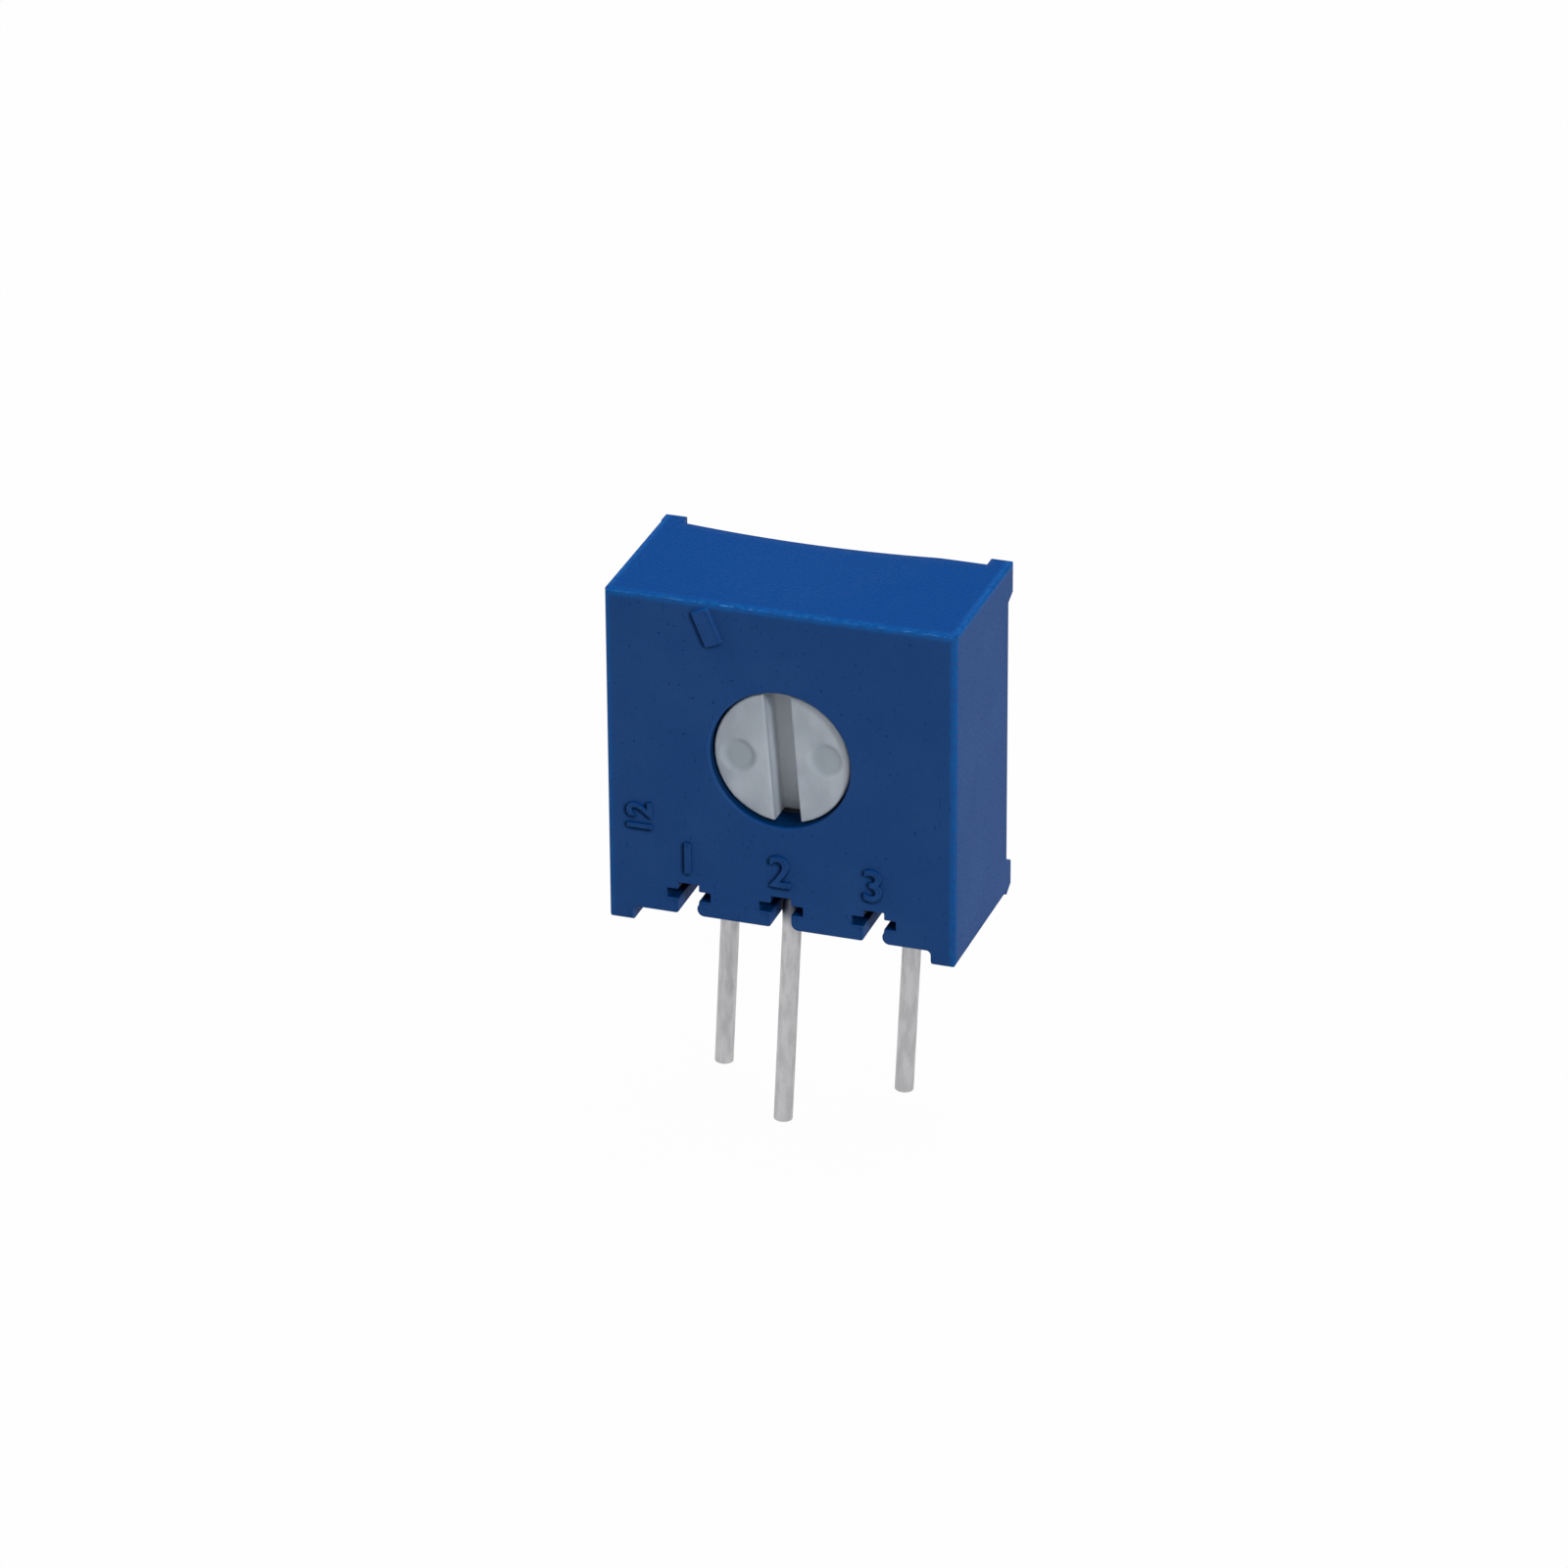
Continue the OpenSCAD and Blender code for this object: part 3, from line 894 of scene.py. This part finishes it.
@dataclass
class AdjusterHead:
    """The head of the adjuster: a turned face with driver slot and two dimples, on the CAD flange.

    A ripple is a scale per millimetre and a height in millimetres.
    """

    layout: Layout
    material: Material
    radius: float = 1.85
    inset: float = 0.18
    rim: float = 0.06
    slot_half: float = 0.36
    slot_deep: float = 0.8
    slot_lip: float = 0.05
    slot_root: float = 0.07
    slot_draft: float = 0.004
    slot_turn: float = 4.6
    dimple_at: float = 1.2
    dimple_radius: float = 0.43
    dimple_deep: float = 0.1
    dimple_soft: float = 0.2
    neck_depth: float = 1.1
    foot_depth: float = 0.1
    foot_share: float = 0.98
    edge_lines: int = 5
    edge_zone: Span = (1.2, 1.4)
    lines: int = 108
    line_reach: float = 0.9998
    ripple: Span = (1.3, 0.012)
    fine_ripple: Span = (4.0, 0.0048)

    def spacing(self) -> list[float]:
        """Shares from -1 to 1 that close up towards both ends."""
        half = self.lines // 2
        return [math.sin(math.pi / 2 * i / half) for i in range(-half, half + 1)]

    def across(self) -> list[float]:
        """Places the lines across the slot, with extra ones round its edges.

        Returns:
            Their distances from the slot's middle, in order.
        """
        lip, root, half = self.slot_lip, self.slot_root, self.slot_half
        turns = [math.pi / 2 * i / self.edge_lines for i in range(self.edge_lines + 1)]
        edge = [half - root * (1 - math.sin(turn)) for turn in turns]
        edge += [half + self.slot_draft + lip * (1 - math.cos(turn)) for turn in turns]
        low, high = half - self.edge_zone[0] * root, half + self.edge_zone[1] * lip
        plain = [self.line_reach * self.radius * share for share in self.spacing()]
        kept = [u for u in plain if not low < abs(u) < high]
        return sorted(kept + edge + [-u for u in edge])

    def slot_depth(self, u: float) -> float:
        """Works out the depth of the slot below the head's face.

        Args:
            u: distance from the slot's middle.

        Returns:
            The depth in millimetres, with a rounded root and lip.
        """
        past = abs(u) - self.slot_half
        if past <= 0:
            outward = self.slot_root - min(-past, self.slot_root)
            return self.slot_deep - self.slot_root + math.sqrt(self.slot_root**2 - outward**2)
        outward = self.slot_lip - max(past - self.slot_draft, 0)
        return self.slot_lip - math.sqrt(self.slot_lip**2 - outward**2) if outward > 0 else 0.0

    def depth(self, u: float, v: float) -> float:
        """Works out the depth of the head's surface below the adjustment face.

        Args:
            u: distance across the slot.
            v: distance along the slot.

        Returns:
            The depth in millimetres.
        """
        from_rim = max(self.radius - math.hypot(u, v), 0)
        deep = self.inset + self.slot_depth(u)
        if from_rim < self.rim:
            deep += self.rim - math.sqrt(self.rim**2 - (self.rim - from_rim) ** 2)
        away = math.hypot(abs(u) - self.dimple_at, v) - self.dimple_radius
        share = min(max(0.5 - away / self.dimple_soft, 0), 1)
        deep += self.dimple_deep * share * share * (3 - 2 * share)
        for (size, height), layer in ((self.ripple, 4.0), (self.fine_ripple, 9.0)):
            deep += height * noise.noise(Vector((size * u, size * v, layer)))
        return deep

    def point(self, u: float, v: float) -> Vector:
        """Point of the head in metres, turned to where the slot rests."""
        x, z = Matrix.Rotation(math.radians(self.slot_turn), 2) @ Vector((u, v))
        return Vector((x, self.layout.face_y + self.depth(u, v), self.layout.axis_z + z)) * MM

    def face(self, form: Form) -> None:
        """Adds the closed head, down to its neck.

        Args:
            form: the form to add to.
        """
        columns = []
        for u in self.across():
            reach = math.sqrt(self.radius**2 - u**2)
            columns.append([form.verts.new(self.point(u, reach * share)) for share in self.spacing()])
        for left, right in zip(columns, columns[1:]):
            for i in range(len(left) - 1):
                form.faces.new((left[i], right[i], right[i + 1], left[i + 1]))
        rim = [column[0] for column in columns] + columns[-1][1:]
        rim += [column[-1] for column in reversed(columns[:-1])] + columns[0][-2:0:-1]
        above, axis = rim, Vector((0, 0, self.layout.axis_z)) * MM
        for depth, share in ((0, 1.0), (self.foot_depth, self.foot_share)):
            below = []
            for vert in rim:
                spot = axis + (vert.co - axis) * share
                spot.y = (self.layout.face_y + self.neck_depth + depth) * MM
                below.append(form.verts.new(spot))
            join_rings(form, above, below)
            above = below
        form.faces.new(above)

    def build(self) -> None:
        """Adds the head to the CAD rotor's part behind the neck and lets both stand for the node."""
        form = SoftenedMoulding("rotor", 0.02).softened()
        level = Vector((0, (self.layout.face_y + self.neck_depth) * MM, 0))
        cut = bmesh.ops.bisect_plane(
            form, geom=whole(form.faces), plane_co=level, plane_no=(0, 1, 0), clear_inner=True
        )
        bmesh.ops.holes_fill(form, edges=[item for item in cut["geom_cut"] if isinstance(item, Edge)])
        self.face(form)
        bmesh.ops.recalc_face_normals(form, faces=form.faces)
        obj = mesh_object("adjuster_head", form)
        smooth(obj.data)
        enrol(obj, self.material, ADJUSTER, "rotor")


@dataclass
class WireLeads:
    """The three tinned leads, swept along their paths."""

    material: Material
    radius: float = 0.255
    tip_radius: float = 0.1
    tip_rings: int = 5
    bend: float = 0.42
    bend_points: int = 9
    lean: float = math.radians(2.8)
    lean_bend: float = 3.0
    lean_points: int = 4
    run_height: float = 1.02
    lap_top: float = 3.09
    length: float = 5.694
    step: float = 0.09
    sides: int = 28
    unevenness: float = 0.006
    lumps: float = 1.3

    def start(self) -> Vector:
        """Point where the bend into the lean begins, for a lead at the origin."""
        return Vector((0, 0, self.lean_bend * math.sin(self.lean)))

    def tail(self) -> list[Vector]:
        """Draws the part that all leads have in common, for a lead at the origin.

        Returns:
            Its points, from the start of the lean's bend down to the tip.
        """
        turns = [self.lean * i / self.lean_points for i in range(self.lean_points + 1)]
        points = [
            self.start() + self.lean_bend * Vector((math.cos(turn) - 1, 0, -math.sin(turn))) for turn in turns
        ]
        along = Vector((-math.sin(self.lean), 0, -math.cos(self.lean)))
        plain = self.length / math.cos(self.lean) - self.tip_radius
        count = round(plain / self.step)
        reaches = [plain * i / count for i in range(1, count + 1)]
        quarter = [math.pi / 2 * i / self.tip_rings for i in range(1, self.tip_rings + 1)]
        reaches += [plain + self.tip_radius * math.sin(angle) for angle in quarter]
        return points + [points[-1] + along * reach for reach in reaches]

    def straight(self, start: Vector, end: Vector) -> list[Vector]:
        """Evenly spaced points from start to just before end."""
        count = max(1, round((end - start).length / self.step))
        return [start.lerp(end, i / count) for i in range(count)]

    def arc(self, centre: Vector, from_angle: float, turned: float) -> list[Vector]:
        """Draws a bend in the plane of depth and height.

        Args:
            centre: the bend's centre.
            from_angle: where it starts, in degrees from +Y towards +Z.
            turned: how far it turns, in degrees.

        Returns:
            Its points, before its end.
        """
        count = self.bend_points
        angles = [math.radians(from_angle + turned * i / count) for i in range(count)]
        return [centre + Vector((0, math.cos(a), math.sin(a))) * self.bend for a in angles]

    def outer_path(self) -> list[Vector]:
        """Path of an outer lead, from the top of its solder lap to its tip."""
        return self.straight(Vector((0, 0, self.lap_top)), self.start()) + self.tail()

    def middle_path(self) -> list[Vector]:
        """Draws the middle lead: down behind the ceramic, forward in the groove and down.

        Returns:
            Its points, from the top of its solder lap to its tip.
        """
        back, up = Vector((0, self.bend, 0)), Vector((0, 0, self.bend))
        high = Vector((0, Layout.PITCH - self.bend, self.run_height + self.bend))
        low = Vector((0, self.bend, self.run_height - self.bend))
        path = self.straight(Vector((0, Layout.PITCH, self.lap_top)), high + back)
        path += self.arc(high, 0, -90) + self.straight(high - up, low + up)
        path += self.arc(low, 90, 90) + self.straight(low - back, self.start())
        return path + self.tail()

    def tip_share(self, from_tip: int) -> float:
        """Radius at the nth point from the tip, as a share of the wire's own."""
        angle = math.pi / 2 * max(self.tip_rings - from_tip, 0) / self.tip_rings
        return 1 - self.tip_radius / self.radius * (1 - math.cos(angle))

    def tree(self) -> bpy.types.NodeTree:
        """Builds the tree that sweeps a round wire along a curve.

        Returns:
            The tree, with inputs Radius, Sides and Unevenness.
        """
        tree = bpy.data.node_groups.new("swept_wire", "GeometryNodeTree")
        kinds = {"Geometry": "Geometry", "Radius": "Float", "Sides": "Int", "Unevenness": "Float"}
        for name, kind in kinds.items():
            tree.interface.new_socket(name, in_out="INPUT", socket_type=f"NodeSocket{kind}")
        tree.interface.new_socket("Geometry", in_out="OUTPUT", socket_type="NodeSocketGeometry")
        g = Graph(tree)
        given = g.add("NodeGroupInput").outputs
        ring = g.add("GeometryNodeCurvePrimitiveCircle", Resolution=given["Sides"], Radius=given["Radius"])
        wire = g.add(
            "GeometryNodeCurveToMesh", Curve=given["Geometry"], Profile_Curve=ring, Fill_Caps=True
        )
        pattern = g.add("ShaderNodeTexNoise", Scale=self.lumps / MM, Detail=3)
        swell = g.times(g.math("SUBTRACT", pattern, 0.5), given["Unevenness"])
        outward = g.add("GeometryNodeInputNormal")
        offset = g.add("ShaderNodeVectorMath", outward, operation="SCALE", Scale=swell)
        moved = g.add("GeometryNodeSetPosition", Geometry=wire, Offset=offset)
        real = g.add("GeometryNodeRealizeInstances", Geometry=moved)
        finished = g.add("GeometryNodeSetMaterial", Geometry=real, Material=self.material)
        g.add("NodeGroupOutput", Geometry=finished)
        return tree

    def sweep(self, name: str, path: list[Vector], tree: bpy.types.NodeTree) -> Piece:
        """Sweeps one wire along a path.

        Args:
            name: the piece's name.
            path: the wire's middle line, in millimetres.
            tree: the sweeping tree.

        Returns:
            A plain mesh object.
        """
        curve = bpy.data.curves.new(name, "CURVE")
        curve.dimensions = "3D"
        line = curve.splines.new("POLY")
        line.points.add(len(path) - 1)
        for i, place in enumerate(path):
            line.points[i].co = (*(place * MM), 1)
            line.points[i].radius = self.tip_share(len(path) - 1 - i)
        obj = add_object(name, curve)
        modifier = obj.modifiers.new("wire", "NODES")
        modifier.node_group = tree
        values = {"Radius": self.radius * MM, "Sides": self.sides, "Unevenness": self.unevenness * MM}
        for item in tree.interface.items_tree:
            if item.in_out == "INPUT" and item.name in values:
                modifier[item.identifier] = values[item.name]
        return freeze(obj)

    def build(self) -> None:
        """Makes the three leads and lets them stand for their nodes."""
        tree = self.tree()
        for number, side in ((1, -1), (2, 0), (3, 1)):
            path = self.outer_path() if side else self.middle_path()
            place = Vector((side, 1, 0)) * Layout.PITCH if side else Vector()
            obj = self.sweep(f"wire_lead_{number}", [point + place for point in path], tree)
            smooth(obj.data)
            enrol(obj, self.material, CASE, f"lead_{number}")


@dataclass
class ResinFill:
    """The cast resin that closes the back, with a surface that creeps up the walls.

    A ripple is a scale per millimetre and a height in millimetres.
    """

    material: Material
    half_w: float = 3.99
    low_z: float = 1.745
    high_z: float = 8.715
    corner: float = 0.35
    corner_points: int = 8
    side_points: int = 14
    front_y: float = 2.34
    rear_y: float = 3.34
    sunk: float = 0.03
    creep: float = 0.1
    rings: int = 22
    tongue_half: float = 0.285
    tongue_low: float = 1.05
    tongue_round: float = 0.06
    tongue_sunk: float = 0.04
    tongue_points: int = 7
    ring_easing: float = 1.6
    creep_power: int = 14
    ripple: Span = (0.7, 0.035)
    fine_ripple: Span = (2.6, 0.008)
    sharp_angle: float = 40.0

    def outline(self, scale: float) -> list[Span]:
        """Draws a round rectangle.

        Args:
            scale: how far it is drawn in towards its middle.

        Returns:
            Its points in X and Z, with more on the straight sides.
        """
        middle, half_z = (self.low_z + self.high_z) / 2, (self.high_z - self.low_z) / 2
        points = []
        for quarter, (sx, sz) in enumerate(((1, 1), (-1, 1), (-1, -1), (1, -1))):
            for i in range(self.corner_points):
                angle = math.pi / 2 * (quarter + i / (self.corner_points - 1))
                x = sx * (self.half_w - self.corner) + self.corner * math.cos(angle)
                z = sz * (half_z - self.corner) + self.corner * math.sin(angle)
                points.append(Vector((x * scale, middle + z * scale)))
        filled = []
        for i, point in enumerate(points):
            after = points[(i + 1) % len(points)]
            count = 1 if (i + 1) % self.corner_points else self.side_points
            filled += [tuple(point.lerp(after, n / count)) for n in range(count)]
        return filled

    def surface_y(self, x: float, z: float, scale: float) -> float:
        """Works out where the cured surface lies.

        Args:
            x: place along the row of leads.
            z: height.
            scale: nought in the middle of the surface, one at its walls.

        Returns:
            Its place from front to back, in millimetres.
        """
        depth = self.rear_y - self.sunk + self.creep * scale**self.creep_power
        for (size, height), layer in ((self.ripple, 3.1), (self.fine_ripple, 8.4)):
            depth += height * noise.noise(Vector((size * x, size * z, layer)))
        return depth

    def block(self) -> list[list[tuple]]:
        """Draws the block behind the ceramic, with its uneven rear surface.

        Returns:
            Its sections, from the front through the rear surface to that surface's middle.
        """
        rings = [[(x, self.front_y, z) for x, z in self.outline(1)]]
        for i in range(self.rings):
            scale = 1 - (i / self.rings) ** self.ring_easing
            rings.append([(x, self.surface_y(x, z, scale), z) for x, z in self.outline(scale)])
        return rings

    def tongue(self, x: float) -> list[list[tuple]]:
        """Draws the resin that ran down into one groove, with a rounded underside.

        Args:
            x: the groove's middle.

        Returns:
            Its front and rear ends.
        """
        top = self.low_z + self.corner
        shares = [2 * i / (self.tongue_points - 1) - 1 for i in range(self.tongue_points)]
        section = [(share, self.tongue_low + self.tongue_round * share**2) for share in shares]
        section += [(1, top), (-1, top)]
        ends = (self.front_y, self.rear_y - self.tongue_sunk)
        return [[(x + share * self.tongue_half, y, z) for share, z in section] for y in ends]

    def build(self) -> None:
        """Makes the piece and lets it stand for its node."""
        form = bmesh.new()
        for rings in (self.block(), *(self.tongue(x) for x in (-Layout.PITCH, 0.0, Layout.PITCH))):
            made = [[form.verts.new(Vector(place) * MM) for place in ring] for ring in rings]
            for outer, inner in zip(made, made[1:]):
                join_rings(form, outer, inner)
            form.faces.new(made[-1])
            form.faces.new(made[0])
        bmesh.ops.recalc_face_normals(form, faces=form.faces)
        obj = mesh_object("resin_fill", form)
        smooth(obj.data, self.sharp_angle)
        enrol(obj, self.material, CASE, "sealing_compound")


@dataclass
class MouldedNumbers:
    """Plain raised numbers on the adjustment face: the lead numbers and a mould cavity number."""

    layout: Layout
    material: Material
    lead_size: float = 1.25
    lead_up: float = 2.0575
    cavity_size: float = 0.95
    cavity_in: float = 0.95
    cavity_up: float = 3.1
    proud: float = 0.075
    sunk: float = 0.03
    rounding: float = 0.018
    lift: float = 0.01
    weld: float = 0.0005

    def relief(self, name: str, words: str, size: float, x: float, z: float, turn: float) -> Piece:
        """Makes one raised number on the face.

        Args:
            name: the piece's name.
            words: the digits.
            size: the type size.
            x: the middle of the digits along the row of leads.
            z: the height of their middle.
            turn: how far they are turned, in degrees, seen from the front.

        Returns:
            The piece in its place.
        """
        curve = bpy.data.curves.new(name, "FONT")
        curve.body = words
        curve.size = size
        curve.align_x = curve.align_y = "CENTER"
        curve.extrude = (self.proud + self.sunk) / 2
        curve.bevel_depth = self.rounding
        curve.bevel_resolution = 2
        curve.resolution_u = 6
        obj = freeze(add_object(name, curve))
        stand = Matrix.Rotation(math.radians(90), 4, "X") @ Matrix.Rotation(math.radians(turn), 4, "Z")
        place = Vector((x, self.layout.face_y + (self.sunk - self.proud) / 2 + self.lift, z))
        obj.data.transform(Matrix.Scale(MM, 4) @ Matrix.Translation(place) @ stand)
        form = bmesh.new()
        form.from_mesh(obj.data)
        bmesh.ops.remove_doubles(form, verts=form.verts, dist=self.weld * MM)
        form.to_mesh(obj.data)
        form.free()
        return flatten_shading(obj)

    def build(self) -> None:
        """Makes the numbers and lets them ride on the case."""
        rows = [
            (f"lead_number_{n}", str(n), self.lead_size, (n - 2) * Layout.PITCH, self.lead_up, 0)
            for n in (1, 2, 3)
        ]
        left = self.cavity_in - self.layout.half_w
        for row in (*rows, ("cavity_number", "12", self.cavity_size, left, self.cavity_up, 90)):
            enrol(self.relief(*row), self.material, CASE)


@dataclass
class Studio:
    """Floor, light and camera."""

    layout: Layout
    azimuth: float = 19.011
    elevation: float = 26.52
    roll: float = -0.382
    distance: float = 202.06
    lens: float = 179.98
    target: Vector = field(default_factory=lambda: Vector((0.116, -0.91, 4.659)))
    floor_half: float = 1500.0
    seen_white: float = 0.98
    sky: float = 0.2

    def camera(self) -> None:
        """Places the camera at the photograph's viewing angle."""
        a, e, r = (math.radians(v) for v in (self.azimuth, self.elevation, self.roll))
        back = Vector((math.sin(a) * math.cos(e), -math.cos(a) * math.cos(e), math.sin(e)))
        level = Vector((math.cos(a), math.sin(a), 0))
        right = level * math.cos(r) + back.cross(level) * math.sin(r)
        turn = Matrix((right, back.cross(right), back)).transposed().to_4x4()
        data = bpy.data.cameras.new("camera")
        data.lens = self.lens
        data.clip_start = 0.01
        data.clip_end = 10
        camera = add_object("camera", data)
        camera.matrix_world = Matrix.Translation((self.target + back * self.distance) * MM) @ turn
        bpy.context.scene.camera = camera

    def seen(self, g: Graph) -> Socket:
        """Tells rays by which something is seen from rays that light it.

        Args:
            g: the graph of the floor's material or of the sky.

        Returns:
            One for a camera, mirror or glass ray, and nought for others.
        """
        path = g.add("ShaderNodeLightPath").outputs
        rays = (path[f"Is {kind} Ray"] for kind in ("Camera", "Glossy", "Transmission"))
        return reduce(partial(g.math, "MAXIMUM"), rays)

    def floor(self) -> None:
        """Lays the pale floor under the leads' tips, clear from below."""
        ends = (-self.floor_half, self.floor_half)
        corners = [Vector((x, y, self.layout.tip_z)) * MM for x in ends for y in ends]
        mesh = bpy.data.meshes.new("floor")
        mesh.from_pydata(corners, [], [(0, 2, 3, 1)])
        g = Paint("pale_floor")
        tone = g.mix((0.62, 0.62, 0.62), (0.6, 0.6, 0.6), g.noise(0.02, 2))
        matt = g.add("ShaderNodeBsdfDiffuse", Color=tone)
        white = g.add("ShaderNodeEmission", Color=(1, 1, 1, 1), Strength=1.0)
        lit = g.add("ShaderNodeMixShader", g.times(self.seen(g), self.seen_white), matt, white)
        below = g.add("ShaderNodeNewGeometry").outputs["Backfacing"]
        clear = g.add("ShaderNodeBsdfTransparent")
        g.put(g.output.inputs["Surface"], g.add("ShaderNodeMixShader", below, lit, clear))
        obj = add_object("floor", mesh)
        dress(obj, g.material)

    def world(self) -> None:
        """Sets a soft even sky that looks white where it is seen."""
        world = bpy.data.worlds.new("studio")
        world.use_nodes = True
        g = Graph(world.node_tree)
        level = g.ramp(self.seen(g), (0, 1), (self.sky, 1))
        g.add("ShaderNodeOutputWorld", Surface=g.add("ShaderNodeBackground", Strength=level))
        bpy.context.scene.world = world

    def lamp(self, name: str, place: Vector, size: float, watts: float) -> None:
        """Adds a soft square lamp that points at the object.

        Args:
            name: the lamp's name.
            place: where it stands, in millimetres.
            size: the length of its side, in millimetres.
            watts: its power.
        """
        data = bpy.data.lights.new(name, "AREA")
        data.size = size * MM
        data.energy = watts
        lamp = add_object(name, data)
        lamp.location = place * MM
        towards = Vector((0, 1, 4)) - place
        lamp.rotation_euler = towards.to_track_quat("-Z", "Y").to_euler()

    def build(self) -> None:
        """Sets up the whole studio."""
        self.camera()
        self.floor()
        self.world()
        self.lamp("overhead", Vector((20, 50, 260)), size=150, watts=0.36)
        self.lamp("key", Vector((200, -140, 160)), size=60, watts=0.34)
        self.lamp("rim", Vector((-230, -50, 110)), size=60, watts=0.11)
        bpy.context.scene.view_settings.view_transform = "Standard"


@dataclass
class InnerWorks:
    """The CAD nodes that keep their own meshes, inside the closed housing."""

    frame: dict

    def build(self) -> None:
        """Dresses the seal, wiper, ceramic, films, prints and solder."""
        silver = DullMetal("fired_silver", (0.72, 0.71, 0.68), (0.55, 0.54, 0.5), (0.35, 0.5), 1.0, 0.004)
        solder = DullMetal("solder", (0.66, 0.66, 0.67), (0.48, 0.48, 0.5), (0.22, 0.4), 1.0, 0.008)
        spring = DullMetal("spring_sheet", (0.72, 0.55, 0.26), (0.6, 0.42, 0.18), (0.25, 0.4), 2.0, 0.002)
        rubber = FineSolid("black_rubber", (0.02, 0.02, 0.02), (0.035, 0.035, 0.035), 0.7, 6, 0.006)
        alumina = FineSolid("alumina", (0.82, 0.81, 0.76), (0.74, 0.73, 0.68), 0.6, 5, 0.003)
        film = FineSolid("track_film", (0.02, 0.02, 0.02), (0.05, 0.05, 0.05), 0.4, 8, 0.003)
        for finish, nodes in (
            (rubber, ("rotor_seal",)),
            (spring, ("wiper_contact",)),
            (alumina, ("ceramic_plate",)),
            (film, ("resistance_track",)),
            (silver, ("collector_print", "end_print_1", "end_print_3")),
            (solder, ("solder_1", "solder_2", "solder_3")),
        ):
            material = finish.build()
            for node in nodes:
                dress(self.frame["nodes"][node], material)
                log.info("%s is dressed in %s", node, finish.name)


def main() -> None:
    """Builds the dressed part in order."""
    logging.basicConfig(level=logging.INFO, format="%(name)s: %(message)s")
    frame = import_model()
    layout = Layout.from_frame(frame)
    blue = HousingPlastic(layout).build()
    pale = RotorPlastic(layout).build()
    tinned = DullMetal(
        "tinned_wire", (0.54, 0.54, 0.55), (0.46, 0.46, 0.47), (0.46, 0.56), 0.25, shadow_from=0.1
    ).build()
    resin = FineSolid("cast_resin", (0.62, 0.5, 0.28), (0.57, 0.455, 0.25), 0.3, 0.8, 0.01).build()
    HousingShell(layout=layout, material=blue).build()
    AdjusterHead(layout, pale).build()
    MouldedNumbers(layout, blue).build()
    WireLeads(tinned).build()
    ResinFill(resin).build()
    InnerWorks(frame).build()
    Studio(layout).build()


if __name__ == "__main__":
    main()
